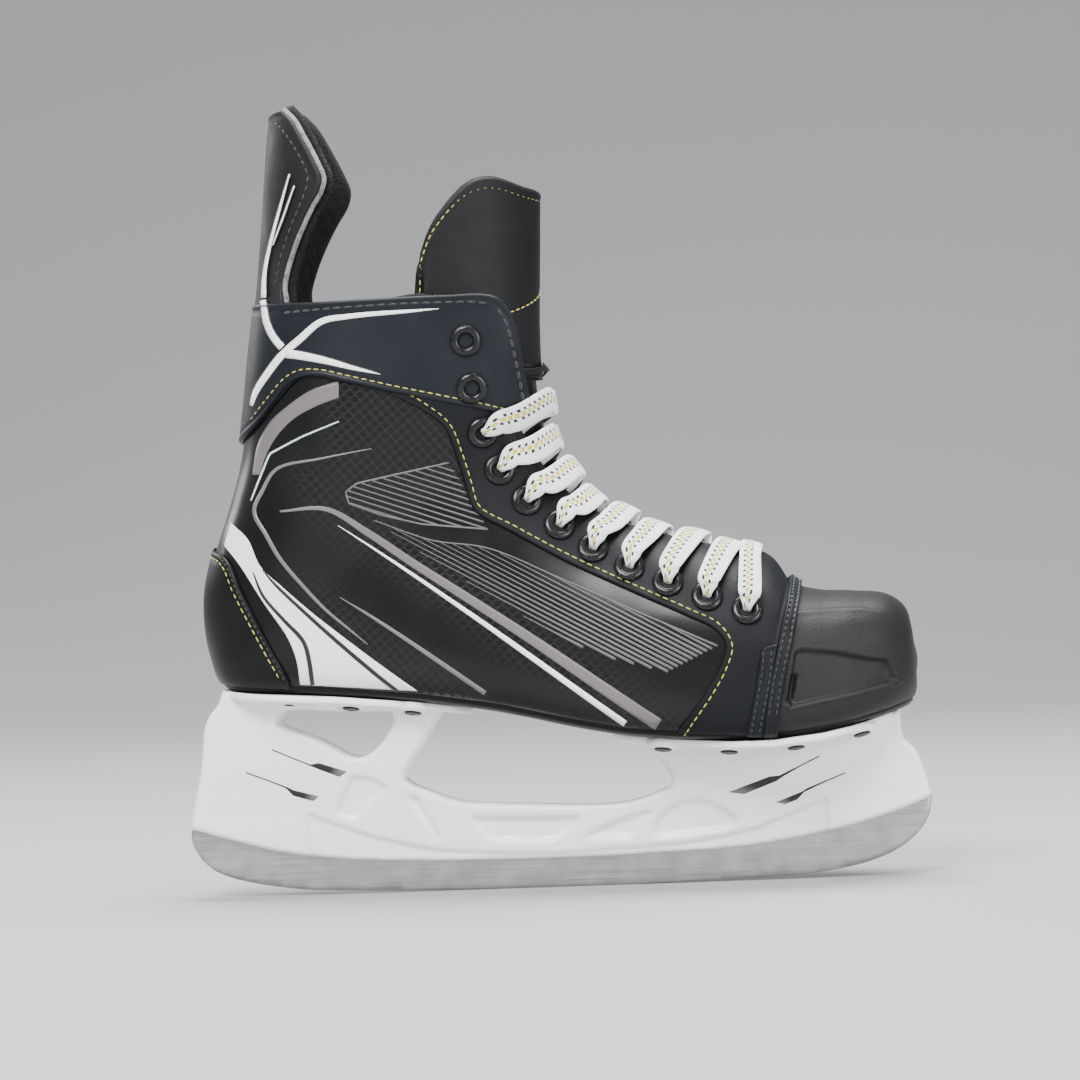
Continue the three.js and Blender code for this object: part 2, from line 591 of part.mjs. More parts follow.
/** Nodes of the lace where it dives from outside into an eyelet, in that order. */
function throughEyelet(spot, side, turn) {
  const { place, normal, s, angle } = onSide(spot, side);
  const edge = skin(s, side * Math.min(angle + 0.25, Math.PI), 0);
  const toThroat = edge.sub(place);
  toThroat.addScaledVector(normal, -toThroat.dot(normal)).normalize();
  const across = normal.clone().cross(toThroat).multiplyScalar(-turn);
  const at = (out, up, width, thick = LACE.thick) => ({
    place: place.clone().addScaledVector(normal, out).addScaledVector(toThroat, up),
    across,
    width,
    thick,
  });
  const rim = OVERLAY_TOP + EYELET.seat + EYELET.flangeWall;
  const inside = -SHELL_WALL - EYELET.seatInside - EYELET.flangeWall;
  return [
    at(rim + 1.5, 7, 6.6),
    at(rim + 1.6, 3.3, 4.4),
    at(rim + 0.5, 0.7, LACE.pinch, 1.6),
    at(inside - 0.5, 0.7, LACE.pinch, 1.6),
    at(inside - 1.6, 3.3, 4.4),
    at(inside - 1.4, 7, 5.4),
  ];
}

/** A node over the throat, share -1 to 1 across it and an offset from the last. */
function overThroat(s, share, offset, turn, width = LACE.width) {
  return { ...onInstep(s, share * throatHalf(s), offset), turn, width };
}

/** The nodes from the inside of one eyelet across the throat to the next eyelet of the other side. */
function crossing(from, to, side, high, turn) {
  const s0 = locate(...from).s;
  const s1 = locate(...to).s;
  const at = (share) => s0 + (s1 - s0) * share;
  const aside = (0.6 * throatHalf(s1) + 0.4 * Math.abs(onSide(to, side).place.y)) / throatHalf(s1);
  return [
    overThroat(at(0.26), -side * 0.98, -5.6, turn, 5.6),
    overThroat(at(0.38), -side * 0.6, -1.2, turn, 6.6),
    overThroat(at(0.5), 0, high ? 2.7 : 0.6, turn),
    overThroat(at(0.62), side * 0.5, high ? 3.2 : 2.4, turn),
    overThroat(at(0.72), side * 0.98, OVERLAY_TOP + 1.7, turn),
    overThroat(at(0.84), side * aside, OVERLAY_TOP + 1.9, turn),
  ];
}

/** One continuous lace: a bar over the toe end, and from it two zigzags up to the top laced pair. */
function laceGeometry() {
  const spots = eyeletPlaces().slice(0, LACED_PAIRS);
  const zigzag = (startSide) => {
    const nodes = [];
    let [side, turn] = [startSide, startSide];
    nodes.push(...throughEyelet(spots[0], side, turn));
    for (let k = 1; k < spots.length; k++) {
      side = -side;
      turn = -turn;
      nodes.push(...crossing(spots[k - 1], spots[k], side, startSide * side > 0, turn));
      nodes.push(...throughEyelet(spots[k], side, turn));
    }
    return nodes;
  };
  const s0 = locate(...spots[0]).s + 0.12;
  const bar = [-1.7, -1.4, -0.98, -0.5, 0, 0.5, 0.98, 1.4, 1.7].map((share) =>
    overThroat(s0, share, OVERLAY_TOP + 1.8, 1),
  );
  const first = zigzag(-1).reverse();
  first.forEach((node) => {
    if (!node.across) node.turn = -node.turn;
  });
  return band(bandNodes([...first, ...bar, ...zigzag(1)]));
}

/** The route of each free end, from behind its top eyelet down to the footbed and round one loop. */
const TAIL_LIFT = LINER_LIFT - 11.8; // the routes are for a footbed that ends 11.8 above the sole
const TAIL_ROUTES = {
  lateral: [
    [-32, -25, 178], [-35, -25.5, 168], [-38, -26, 154], [-38, -26, 138], [-35, -26, 120],
    [-30, -25.5, 104], [-22, -25, 92.5], [-10, -25, 85.2], [6, -25, 78.7], [22, -24.5, 75.4],
    [38, -24, 73.1], [54, -23, 71.7], [66, -21, 71], [76, -16, 70.7], [82, -8, 70.8], [83, 1, 70.8],
    [79, 9, 70.7], [70, 14, 70.8], [58, 15, 71.5], [44, 14, 72.5], [30, 12, 73.8], [16, 11, 76.7],
    [3, 12, 79.4], [-12, 11, 83], [-24, 5, 85.5], [-26, -6, 85.9], [-17, -13, 84.2], [-3, -14, 80.8],
    [12, -13, 77.5],
  ],
  medial: [
    [-32, 25, 178], [-36, 25.5, 168], [-40, 26, 154], [-44, 26, 138], [-47, 25, 120], [-53, 24, 105],
    [-61, 23, 94.6], [-71, 22, 91.9], [-82, 21, 93], [-93, 19, 93.8], [-103, 14, 94.5], [-110, 6, 95],
    [-112, -3, 95.1], [-108, -12, 94.8], [-99, -17, 94.2], [-88, -18, 93.5], [-76, -17, 92.4],
    [-62, -16, 90.9], [-50, -12, 89.7], [-44, -4, 88.7], [-46, 5, 89.1], [-55, 11, 90.2],
    [-67, 13, 91.4], [-80, 12, 92.8], [-92, 8, 93.8], [-98, 1, 94.2], [-95, -6, 94], [-86, -10, 93.4],
    [-74, -9, 92.2], [-64, -7, 91.1],
  ],
};
const TAIL = { width: 7, thick: 1.4, aglet: 22, agletWidth: 3.2, agletThick: 2.2 };

function laceTail(route) {
  const line = new THREE.CatmullRomCurve3(route.map(([x, y, z]) => v3(x * LONG, y, z * TALL + TAIL_LIFT)));
  const length = line.getLength();
  const count = Math.round(length / 9);
  const spots = line.getSpacedPoints(count);
  const path = spots.map((place, i) => {
    const along = (i / count) * length;
    const onFoot = Math.min(Math.max((along - 60) / 50, 0), 1);
    const isAglet = along > length - TAIL.aglet;
    return {
      place,
      normal: v3(0, -Math.sign(route[0][1]) * (1 - onFoot), onFoot).normalize(),
      turn: 1,
      width: isAglet ? TAIL.agletWidth : TAIL.width,
      thick: isAglet ? TAIL.agletThick : TAIL.thick,
    };
  });
  return band(bandNodes(path));
}

// ---------------------------------------------------------------- holder and runner
const STEEL_TOP = [
  [-147.2, 28.4], [-131.2, 23.3], [-111, 17.8], [-91, 14.6], [-60, 12.5], [-29.5, 11.8], [8, 11.7], [34, 12.2],
  [75.8, 14], [97, 16.9], [118.2, 21.3], [139.2, 27.8], [149.2, 31.8],
].map(sized);
const HEEL_OF_HOLDER = [
  [-145.9, 34.2], [-144, 42], [-141.6, 51], [-140.2, 60], [-138.8, 69], [-136.4, 73.9], [-133, 78],
  [-131, 83.2],
].map(sized);
const TOE_OF_HOLDER = [
  [137.4, 65.6], [138, 58], [139, 55], [142.6, 51], [144.6, 47.5], [146.4, 42], [147.9, 37],
].map(sized);
const BIG_OPENING = [
  [35, 62], [38.6, 55.4], [42, 50], [46, 43.4], [46.4, 39.8], [41, 37], [34, 34.4], [25, 32.8], [-7, 33.4],
  [-31, 34.8], [-40, 36], [-50, 39.8], [-57, 42.8], [-60, 45.4], [-59.2, 49], [-53, 58.4], [-46.4, 69.6],
  [-38, 77],
].map(sized);
const REAR_OPENING = [
  [-110.6, 71.6], [-107.4, 74.3], [-101.5, 75], [-87.6, 74], [-63, 72.6], [-64.8, 65.8], [-68.4, 60.4],
  [-72.6, 56.8], [-77.6, 54.8], [-82.6, 55.6], [-88.2, 58.8], [-94.8, 62.4], [-107.4, 67.4],
].map(sized);
const TRUSS_POCKETS = [
  [[-35, 29.5], [-2, 28.5], [-14, 18.5], [-22, 19]],
  [[4, 28.2], [30, 27.6], [22, 19], [12, 18.6]],
  [[36, 28], [50, 33], [66, 30], [58, 23], [42, 20.5]],
  [[-74, 41], [-62, 36], [-50, 32], [-56, 22], [-64, 21.5]],
].map((pocket) => pocket.map(sized));
const REAR_FLANGE = { back: -132 * LONG, front: -33 * LONG, half: 31, waist: 25 };
const FRONT_FLANGE = { back: 24 * LONG, front: 138 * LONG, half: 41, waist: 24 };

/** Half of a flange's plan outline, as [x, half width]. */
function flangeHalf({ back, front, half, waist }, toeEnd) {
  const length = front - back;
  const shares = toeEnd
    ? [
      [0, waist * 0.72], [0.06, waist], [0.3, half * 0.86], [0.52, half],
      [0.72, half * 0.93], [0.88, half * 0.66], [0.97, half * 0.34], [1, half * 0.12],
    ]
    : [
      [0, half * 0.2], [0.03, half * 0.5], [0.1, half * 0.8], [0.25, half],
      [0.5, half * 0.97], [0.8, waist], [0.96, waist * 0.8], [1, waist * 0.5],
    ];
  return shares.map(([share, w]) => [back + share * length, w]);
}

function flange(spec, toeEnd) {
  const half = flangeHalf(spec, toeEnd);
  const outline = [...half, ...half.map(([x, y]) => [x, -y]).reverse()];
  return planPrism(outline, 30, 110 * TALL).intersect(soleBand(-GAP - HOLDER.flange, -GAP));
}

function runnerOutline(grow = 0) {
  const half = RUNNER.flat / 2;
  const fall = (x) => (Math.abs(x) - half) ** 2 * (1 / (2 * RUNNER.rocker) + 0.25 / 3600);
  const bottom = [40, 65, 85, 100].map((x) => [x * LONG, fall(x)]);
  const toe = [
    [112, 3.6], [122, 5.7], [131, 8.8], [138, 12.6], [144, 17.9], [148, 24.4], [149.4, 30.6],
  ].map(sized);
  const heel = [[-110, 3.8], [-122, 5.7], [-133, 8.4], [-140, 12], [-145, 17.6], [-147.8, 25]].map(sized);
  const inner = STEEL_TOP.slice(1, -1).map(([x, z]) => [x, z + RUNNER.rise + grow]);
  return [
    [-half, 0], [half, 0], ...bottom, ...toe,
    STEEL_TOP.at(-1), [140 * LONG + grow, 30 * TALL], ...inner.reverse(),
    [-137 * LONG - grow, 27 * TALL], STEEL_TOP[0],
    ...heel.reverse(), ...bottom.map(([x, z]) => [-x, z]).reverse(),
  ];
}

/** The tab of the runner that a bolt's fork takes hold of, grown all round for the holder's pocket. */
function lug(x, grow = 0) {
  const low = 16 * TALL;
  const high = 37 * TALL + grow;
  const half = 2.2 + grow;
  const outline = [[x - half, low], [x + half, low], [x + half, high], [x - half, high]];
  return sidePrism(outline, RUNNER.wall / 2 + grow);
}

function runner() {
  const blade = sidePrism(runnerOutline(), RUNNER.wall / 2);
  return Object.values(BOLT_PLACES).reduce((body, x) => body.add(lug(x)), blade);
}

function holder() {
  const side = [
    ...STEEL_TOP, ...TOE_OF_HOLDER.toReversed(),
    ...[[130, 66], [112, 62], [88, 59.4], [60, 59.7], [42, 61]].map(sized),
    ...BIG_OPENING, ...[[-60, 79.5], [-90, 82.5], [-118, 85]].map(sized), ...HEEL_OF_HOLDER.toReversed(),
  ];
  const { lip, waist, shoulder } = HOLDER;
  const half = [
    [lip, 8], [lip, 16], [waist, 34], [shoulder, 66], [shoulder + 3, 90],
  ].map(([y, z]) => [y, z * TALL]);
  const front = [...half, ...half.map(([y, z]) => [-y, z]).reverse()];
  const towers = sidePrism(side, 40, [REAR_OPENING])
    .intersect(frontPrism(front, -160 * LONG, 160 * LONG))
    .intersect(sidePrism([...lifted(SOLE_LINE, -GAP), ...[[150, -20], [-160, -20]].map(sized)]));
  const pockets = TRUSS_POCKETS.flatMap((pocket) =>
    [-1, 1].map((sign) => sidePrism(pocket, 5).translate([0, sign * (lip + 5.6), 0])),
  );
  const { slotGap } = HOLDER;
  const boltBore = new THREE.CylinderGeometry(BOLT.fork + BOLT.bore, BOLT.fork + BOLT.bore, 90 * TALL, 12);
  boltBore.rotateX(Math.PI / 2).translate(0, 0, 74 * TALL);
  const slot = sidePrism(
    [
      ...STEEL_TOP.map(([x, z]) => [x, z + RUNNER.rise + slotGap]).slice(1, -1),
      ...[[150, 36], [150, -10], [-150, -10], [-150, 32]].map(sized),
    ],
    RUNNER.wall / 2 + slotGap,
  );
  const cuts = Object.values(BOLT_PLACES).flatMap((x) => [
    solid(boltBore.clone().translate(x, 0, 0)),
    lug(x, slotGap),
  ]);
  return pierced(
    towers.add(flange(REAR_FLANGE, false)).add(flange(FRONT_FLANGE, true)),
    [
      slot, ...pockets, ...cuts,
      ...rivetDrills(), ...rivetDrills(RIVET.head + 1, RIVET_BOTTOM - 9, RIVET_BOTTOM),
    ],
  );
}

/** A bolt that hangs the runner: a head on the holder and a fork round the runner's tab. */
function runnerBolt(x) {
  const top = Math.max(soleHeight(x - BOLT.head), soleHeight(x + BOLT.head));
  const forkLow = 31 * TALL;
  const profile = [
    [0, forkLow], [BOLT.fork, forkLow], [BOLT.fork, forkLow + BOLT.forkRise],
    [BOLT.shank, forkLow + BOLT.forkRise + 1.4],
    [BOLT.shank, top], [BOLT.head, top], [BOLT.head, top + BOLT.headWall], [0, top + BOLT.headWall],
  ];
  const points = profile.map(([r, z]) => new THREE.Vector2(r, z));
  const body = new THREE.LatheGeometry(points, 12).rotateX(Math.PI / 2);
  return solid(body.translate(x, 0, 0)).subtract(lug(x, 0.3));
}

// ---------------------------------------------------------------- materials and assembly
const material = (color, roughness, metalness = 0) =>
  new THREE.MeshStandardMaterial({ color, roughness, metalness });
const FINISH = {
  leather: material(0x1d1f24, 0.45),
  shell: material(0x17181a, 0.5),
  capPlastic: material(0x232323, 0.7),
  rubber: material(0x141414, 0.8),
  felt: material(0x1b1b1b, 0.95),
  foam: material(0x3a3a3a, 0.9),
  fibre: material(0x8a8478, 0.8),
  eyelet: material(0x111111, 0.35, 0.6),
  lace: material(0xf4f4f0, 0.85),
  holder: material(0xf3f5f5, 0.35),
  steel: material(0xb4b4b8, 0.3, 1),
  zinc: material(0x6a6c70, 0.4, 1),
};

const skate = new THREE.Group();

/** Adds one named piece: a solid, a geometry, or a geometry with its place. */
function add(name, finish, piece) {
  const { geometry, position, quaternion } = piece.geometry ? piece : { geometry: piece };
  const mesh = new THREE.Mesh(geometry.isBufferGeometry ? geometry : geometryOf(geometry), finish);
  mesh.name = name;
  if (position) mesh.position.copy(position);
  if (quaternion) mesh.quaternion.copy(quaternion);
  skate.add(mesh);
}

add("toe_cap", FINISH.capPlastic, toeCap());
add("quarter_lateral", FINISH.shell, quarter(-1));
add("quarter_medial", FINISH.shell, quarter(1));
add("facing_lateral", FINISH.leather, facing(-1));
add("facing_medial", FINISH.leather, facing(1));
add("ankle_cuff", FINISH.leather, ankleCuff());
add("heel_counter", FINISH.leather, heelCounter());
add("toe_binding", FINISH.leather, toeBinding());
add("liner_lateral", FINISH.felt, liner(-1));
add("liner_medial", FINISH.felt, liner(1));
add("outsole", FINISH.rubber, outsole());
add("midsole", FINISH.fibre, midsole());
add("footbed", FINISH.foam, footbed());
add("tendon_guard", FINISH.leather, tendonGuard());
add("tendon_guard_felt", FINISH.felt, tendonGuardFelt());
add("tongue_lower", FINISH.felt, tongueLower());
add("tongue_upper", FINISH.leather, tongueUpper());
add("lace", FINISH.lace, laceGeometry());
add("lace_tail_lateral", FINISH.lace, laceTail(TAIL_ROUTES.lateral));
add("lace_tail_medial", FINISH.lace, laceTail(TAIL_ROUTES.medial));
add("holder", FINISH.holder, holder());
add("runner", FINISH.steel, runner());
add("runner_bolt_rear", FINISH.zinc, runnerBolt(BOLT_PLACES.rear));
add("runner_bolt_front", FINISH.zinc, runnerBolt(BOLT_PLACES.front));

[["lateral", -1], ["medial", 1]].forEach(([name, side]) => {
  eyeletPlaces().forEach((spot, i) => {
    add(`eyelet_${name}_${i + 1}`, FINISH.eyelet, placed(eyeletGeometry(), onSide(spot, side)));
  });
});

rivetPlaces.forEach(({ x, y, side }, i) => {
  const name = `rivet_${side < 0 ? "lateral" : "medial"}_${Math.floor(i / 2) + 1}`;
  const turn = new THREE.Quaternion().setFromEuler(new THREE.Euler(0, soleLean(x), 0));
  add(name, FINISH.zinc, { geometry: rivetGeometry(), position: v3(x, y, soleHeight(x)), quaternion: turn });
});

export default skate;
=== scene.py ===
import math

import bmesh
import bpy
import numpy as np
from mathutils import Matrix, Vector


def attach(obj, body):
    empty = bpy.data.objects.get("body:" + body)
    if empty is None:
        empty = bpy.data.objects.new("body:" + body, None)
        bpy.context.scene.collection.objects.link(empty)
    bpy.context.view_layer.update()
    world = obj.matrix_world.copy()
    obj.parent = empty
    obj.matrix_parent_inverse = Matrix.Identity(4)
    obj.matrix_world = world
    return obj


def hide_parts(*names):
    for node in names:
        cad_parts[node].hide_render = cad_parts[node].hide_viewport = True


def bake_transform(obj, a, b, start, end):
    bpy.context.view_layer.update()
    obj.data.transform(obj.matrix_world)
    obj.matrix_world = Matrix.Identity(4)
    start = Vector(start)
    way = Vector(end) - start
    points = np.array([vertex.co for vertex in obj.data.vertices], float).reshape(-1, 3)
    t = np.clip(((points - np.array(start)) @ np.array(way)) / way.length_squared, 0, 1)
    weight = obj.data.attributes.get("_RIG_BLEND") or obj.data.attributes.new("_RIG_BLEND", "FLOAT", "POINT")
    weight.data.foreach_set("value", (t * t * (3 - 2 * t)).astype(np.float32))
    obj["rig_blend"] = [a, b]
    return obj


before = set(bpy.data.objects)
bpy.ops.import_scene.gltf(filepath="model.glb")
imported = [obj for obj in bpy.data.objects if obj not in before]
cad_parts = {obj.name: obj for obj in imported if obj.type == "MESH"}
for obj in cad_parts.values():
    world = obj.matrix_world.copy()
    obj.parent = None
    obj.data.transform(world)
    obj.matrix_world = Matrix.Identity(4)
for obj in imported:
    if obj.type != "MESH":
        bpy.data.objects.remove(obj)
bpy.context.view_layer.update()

MM = 0.001
SIDES = {"lateral": -1, "medial": 1}

# ---------------------------------------------------------------- camera and light
def set_camera():
    """Looks at the outer side from 1.7 m, a little from the toe, with the toe end tipped up."""
    turn, roll = math.radians(3.5), math.radians(2.2)
    back = Vector((math.sin(turn), -math.cos(turn), 0))
    level = Vector((math.cos(turn), math.sin(turn), 0))
    across = level * math.cos(roll) - Vector((0, 0, 1)) * math.sin(roll)
    up = level * math.sin(roll) + Vector((0, 0, 1)) * math.cos(roll)
    camera = bpy.data.objects.new("camera", bpy.data.cameras.new("camera"))
    bpy.context.scene.collection.objects.link(camera)
    camera.matrix_world = Matrix((across, up, back)).transposed().to_4x4()
    camera.location = Vector((-0.003, 0, 0.1388)) + back * 1.7
    camera.data.lens = 141.67
    camera.data.clip_start = 0.1
    bpy.context.scene.camera = camera


def add_light(name, place, target, size, power, tall=None):
    lamp = bpy.data.lights.new(name, "AREA")
    lamp.shape = "RECTANGLE"
    lamp.size, lamp.size_y = size, tall or size
    lamp.energy = power
    obj = bpy.data.objects.new(name, lamp)
    bpy.context.scene.collection.objects.link(obj)
    obj.location = place
    obj.rotation_euler = (Vector(target) - Vector(place)).to_track_quat("-Z", "Y").to_euler()


def set_studio():
    add_light("key_light", (-0.5, -1.6, 1.5), (0, 0, 0.12), 1.1, 80, 0.8)
    add_light("fill_light", (1.5, -1.5, 0.5), (0, 0, 0.12), 1.0, 28)
    add_light("top_light", (0.1, 0.2, 1.7), (0, 0, 0.1), 1.3, 75, 0.9)
    add_light("back_light", (-1.3, 1.3, 0.9), (0, 0, 0.15), 0.9, 14)
    world = bpy.data.worlds.new("studio")
    bpy.context.scene.world = world
    world.use_nodes = True
    world.node_tree.nodes["Background"].inputs["Color"].default_value = (0.95, 0.97, 1, 1)
    world.node_tree.nodes["Background"].inputs["Strength"].default_value = 0.6
    bm = bmesh.new()
    bmesh.ops.create_grid(bm, x_segments=2, y_segments=48, size=1)
    for v in bm.verts:
        along = (v.co.y + 1) / 2 * 9 - 4
        bend = min(max(along - 1.6, 0), 2.4) / 2.4 * math.pi / 2
        rise = max(along - 4, 0)
        radius = 2.4 / (math.pi / 2)
        v.co = (v.co.x * 5, min(along, 1.6) + radius * math.sin(bend), radius * (1 - math.cos(bend)) + rise)
    mesh = bpy.data.meshes.new("floor")
    bm.to_mesh(mesh)
    mesh.shade_smooth()
    floor = bpy.data.objects.new("floor", mesh)
    bpy.context.scene.collection.objects.link(floor)
    mesh.materials.append(finish("floor_paper", (0.36, 0.365, 0.37), 0.9)[0])


# ---------------------------------------------------------------- finishes
def finish(name, colour, rough, metal=0.0, **sockets):
    """A material with a Principled shader. Returns it, and a function that adds and wires its nodes."""
    made = bpy.data.materials.new(name)
    made.use_nodes = True
    tree = made.node_tree
    shader = tree.nodes["Principled BSDF"]
    shader.inputs["Base Color"].default_value = (*colour, 1)
    shader.inputs["Roughness"].default_value = rough
    shader.inputs["Metallic"].default_value = metal
    for socket, value in sockets.items():
        shader.inputs[socket.replace("_", " ").title().replace("Ior", "IOR")].default_value = value

    def node(kind, links=(), settings=(), **values):
        new = tree.nodes.new(kind)
        for key, value in dict(settings).items():
            setattr(new, key, value)
        for key, value in values.items():
            new.inputs[key.replace("_", " ").title()].default_value = value
        for key, source in dict(links).items():
            tree.links.new(source, new.inputs[key])
        return new.outputs

    def shade(socket, source):
        tree.links.new(source, shader.inputs[socket])

    return made, node, shade


def place_of(node, scale=(1, 1, 1), turn=(0, 0, 0)):
    """Object coordinates, scaled and turned."""
    space = node("ShaderNodeTexCoord")["Object"]
    mapping = node("ShaderNodeMapping", {"Vector": space})
    mapped = mapping["Vector"].node
    mapped.inputs["Scale"].default_value = scale
    mapped.inputs["Rotation"].default_value = turn
    return mapping["Vector"]


def noise(node, space, scale, detail=3.0):
    return node("ShaderNodeTexNoise", {"Vector": space}, scale=scale, detail=detail)["Fac"]


def ramp(node, source, stops):
    """A colour ramp from stops of (position, grey or colour)."""
    out = node("ShaderNodeValToRGB", {"Fac": source})
    ends = out["Color"].node.color_ramp
    while len(ends.elements) < len(stops):
        ends.elements.new(0.5)
    for element, (at, value) in zip(ends.elements, stops):
        element.position = at
        element.color = (*value, 1) if hasattr(value, "__len__") else (value, value, value, 1)
    return out["Color"]


def blended(node, share, a, b, kind="MIX"):
    """Mixes colours or links a and b by a share."""
    out = node("ShaderNodeMix", settings={"data_type": "RGBA", "blend_type": kind})
    mix = out[2].node
    tree = mix.id_data
    for socket, value in ((mix.inputs[0], share), (mix.inputs[6], a), (mix.inputs[7], b)):
        if isinstance(value, bpy.types.NodeSocket):
            tree.links.new(value, socket)
        elif hasattr(value, "__len__"):
            socket.default_value = (*value, 1)
        else:
            socket.default_value = value
    return out[2]


def math_of(node, kind, a, b=0.5, c=0.5):
    out = node("ShaderNodeMath", settings={"operation": kind})
    done = out[0].node
    for socket, value in zip(done.inputs, (a, b, c)):
        if isinstance(value, bpy.types.NodeSocket):
            done.id_data.links.new(value, socket)
        else:
            socket.default_value = value
    return out[0]


def bump(node, shade, height, strength, distance=0.0004, under=None):
    links = {"Height": height}
    if under is not None:
        links["Normal"] = under
    out = node("ShaderNodeBump", links, strength=strength, distance=distance)["Normal"]
    shade("Normal", out)
    return out


def leather(name, colour, rough, grain=1100, depth=0.35, lift=1.5, **sockets):
    """Coated leather: fine pebbles, slow colour drift and rubbed, duller patches."""
    made, node, shade = finish(name, colour, rough, specular_ior_level=0.17, **sockets)
    space = place_of(node)
    drift = noise(node, space, 26, 4)
    cells = node("ShaderNodeTexVoronoi", {"Vector": space}, scale=grain)["Distance"]
    fine = noise(node, space, grain * 1.7, 5)
    pebbles = math_of(node, "MULTIPLY_ADD", fine, 0.5, cells)
    tone = ramp(
        node, drift, [(0.3, tuple(c * 0.85 for c in colour)), (0.72, tuple(c * lift for c in colour))]
    )
    shade("Base Color", tone)
    shade(
        "Roughness", ramp(node, noise(node, space, 70, 5),
            [(0.3, rough * 0.86), (0.75, min(rough * 1.18, 1))])
    )
    bump(node, shade, pebbles, depth, 0.00018)
    return made


def film_finish():
    """Glossy black film with rows of small dimples that fade in and out."""
    made, node, shade = finish(
        "quarter_film", (0.005, 0.005, 0.006), 0.27, specular_ior_level=0.24
    )
    space = place_of(node, (330, 0, 330), (0, math.radians(38), 0))
    parts = node("ShaderNodeSeparateXYZ", {"Vector": space})
    waves = [
        math_of(node, "ABSOLUTE", math_of(node, "SINE", math_of(node, "MULTIPLY", parts[axis], math.pi)))
        for axis in ("X", "Z")
    ]
    dimple = math_of(node, "MULTIPLY", waves[0], waves[1])
    shown = node("ShaderNodeAttribute", settings={"attribute_name": "dimples"})["Fac"]
    pit = math_of(node, "MULTIPLY", math_of(node, "SMOOTH_MIN", dimple, 0.5, 0.1), shown)
    tone = blended(
        node, math_of(node, "MULTIPLY", pit, 1.3), (0.013, 0.0135, 0.0145), (0.0012, 0.0012, 0.0012)
    )
    tone = blended(node, shown, (0.0045, 0.0045, 0.005), tone)
    shade("Base Color", tone)
    plain = place_of(node)
    shade("Roughness", ramp(node, noise(node, plain, 60, 4), [(0.3, 0.2), (0.75, 0.3)]))
    ripple = noise(node, plain, 900, 3)
    height = math_of(node, "MULTIPLY_ADD", ripple, 0.08, math_of(node, "MULTIPLY", pit, -1.0))
    bump(node, shade, height, 0.5, 0.0004)
    return made


def bar_finish():
    """Black print that fades into the white plastic at the wide end of each bar."""
    made, node, shade = finish("bar_print", (0.006, 0.006, 0.006), 0.32)
    fade = node("ShaderNodeAttribute", settings={"attribute_name": "fade"})["Fac"]
    dots = noise(node, place_of(node), 1400, 2)
    share = math_of(node, "MULTIPLY", fade, math_of(node, "MULTIPLY_ADD", dots, 0.3, 0.85))
    shade("Base Color", ramp(node, share, [(0.0, (0.006, 0.006, 0.006)), (1.0, (0.3, 0.305, 0.31))]))
    return made


def print_finish(name, colour, rough):
    """Screen print with a slightly uneven, satin surface."""
    made, node, shade = finish(name, colour, rough)
    space = place_of(node)
    specks = noise(node, space, 900, 3)
    shade("Base Color", ramp(node, specks, [(0.3, tuple(c * 0.9 for c in colour)), (0.6, colour)]))
    shade("Roughness", ramp(node, noise(node, space, 120, 3), [(0.3, rough * 0.85), (0.7, rough * 1.15)]))
    bump(node, shade, specks, 0.15, 0.0001)
    return made


def plastic(name, colour, rough, grain, depth, lift=1.4, shine=0.3):
    """Moulded plastic with a spark-eroded grain and rubbed high spots."""
    made, node, shade = finish(name, colour, rough, specular_ior_level=shine)
    space = place_of(node)
    pits = noise(node, space, grain, 6)
    speckle = ramp(
        node, pits, [(0.35, tuple(c * 0.75 for c in colour)), (0.68, tuple(c * lift for c in colour))]
    )
    scuff = ramp(node, noise(node, space, 34, 6), [(0.45, 0.0), (0.8, 0.35)])
    shade("Base Color", blended(node, scuff, speckle, tuple(min(c * 2.1, 1) for c in colour)))
    shade(
        "Roughness", ramp(node, noise(node, space, 90, 4),
            [(0.3, rough * 0.9), (0.75, min(rough * 1.15, 1))])
    )
    bump(node, shade, pits, depth, 0.00022)
    return made


def gloss_plastic(name, colour, rough):
    """Glossy injection-moulded plastic with faint flow marks and handling scratches."""
    made, node, shade = finish(
        name, colour, rough, coat_weight=0.2, coat_roughness=0.1, specular_ior_level=0.5
    )
    flow = noise(node, place_of(node, (1, 1, 3)), 22, 4)
    shade("Base Color", ramp(node, flow, [(0.3, tuple(c * 0.965 for c in colour)), (0.7, colour)]))
    scratches = noise(node, place_of(node, (60, 900, 700), (0, 0.35, 0)), 1.0, 2)
    marks = ramp(node, scratches, [(0.5, 0.0), (0.75, 1.0)])
    shade("Roughness", ramp(node, marks, [(0.0, rough * 0.9), (1.0, rough * 1.6)]))
    bump(node, shade, math_of(node, "MULTIPLY_ADD", marks, -0.2, flow), 0.06, 0.0004)
    return made


def steel_finish():
    """Stainless steel ground lengthwise, with fine grey streaks."""
    made, node, shade = finish("runner_steel", (0.56, 0.55, 0.56), 0.36, 1.0, anisotropic=0.35)
    streaks = noise(node, place_of(node, (24, 60, 2600)), 1.0, 5)
    clouds = noise(node, place_of(node, (1, 1, 1)), 120, 5)
    mixed = math_of(node, "MULTIPLY_ADD", streaks, 0.6, math_of(node, "MULTIPLY", clouds, 0.4))
    shade("Base Color", ramp(node, mixed, [(0.32, (0.32, 0.315, 0.33)), (0.68, (0.58, 0.575, 0.59))]))
    shade("Roughness", ramp(node, mixed, [(0.3, 0.30), (0.7, 0.46)]))
    bump(node, shade, streaks, 0.12, 0.0001)
    return made


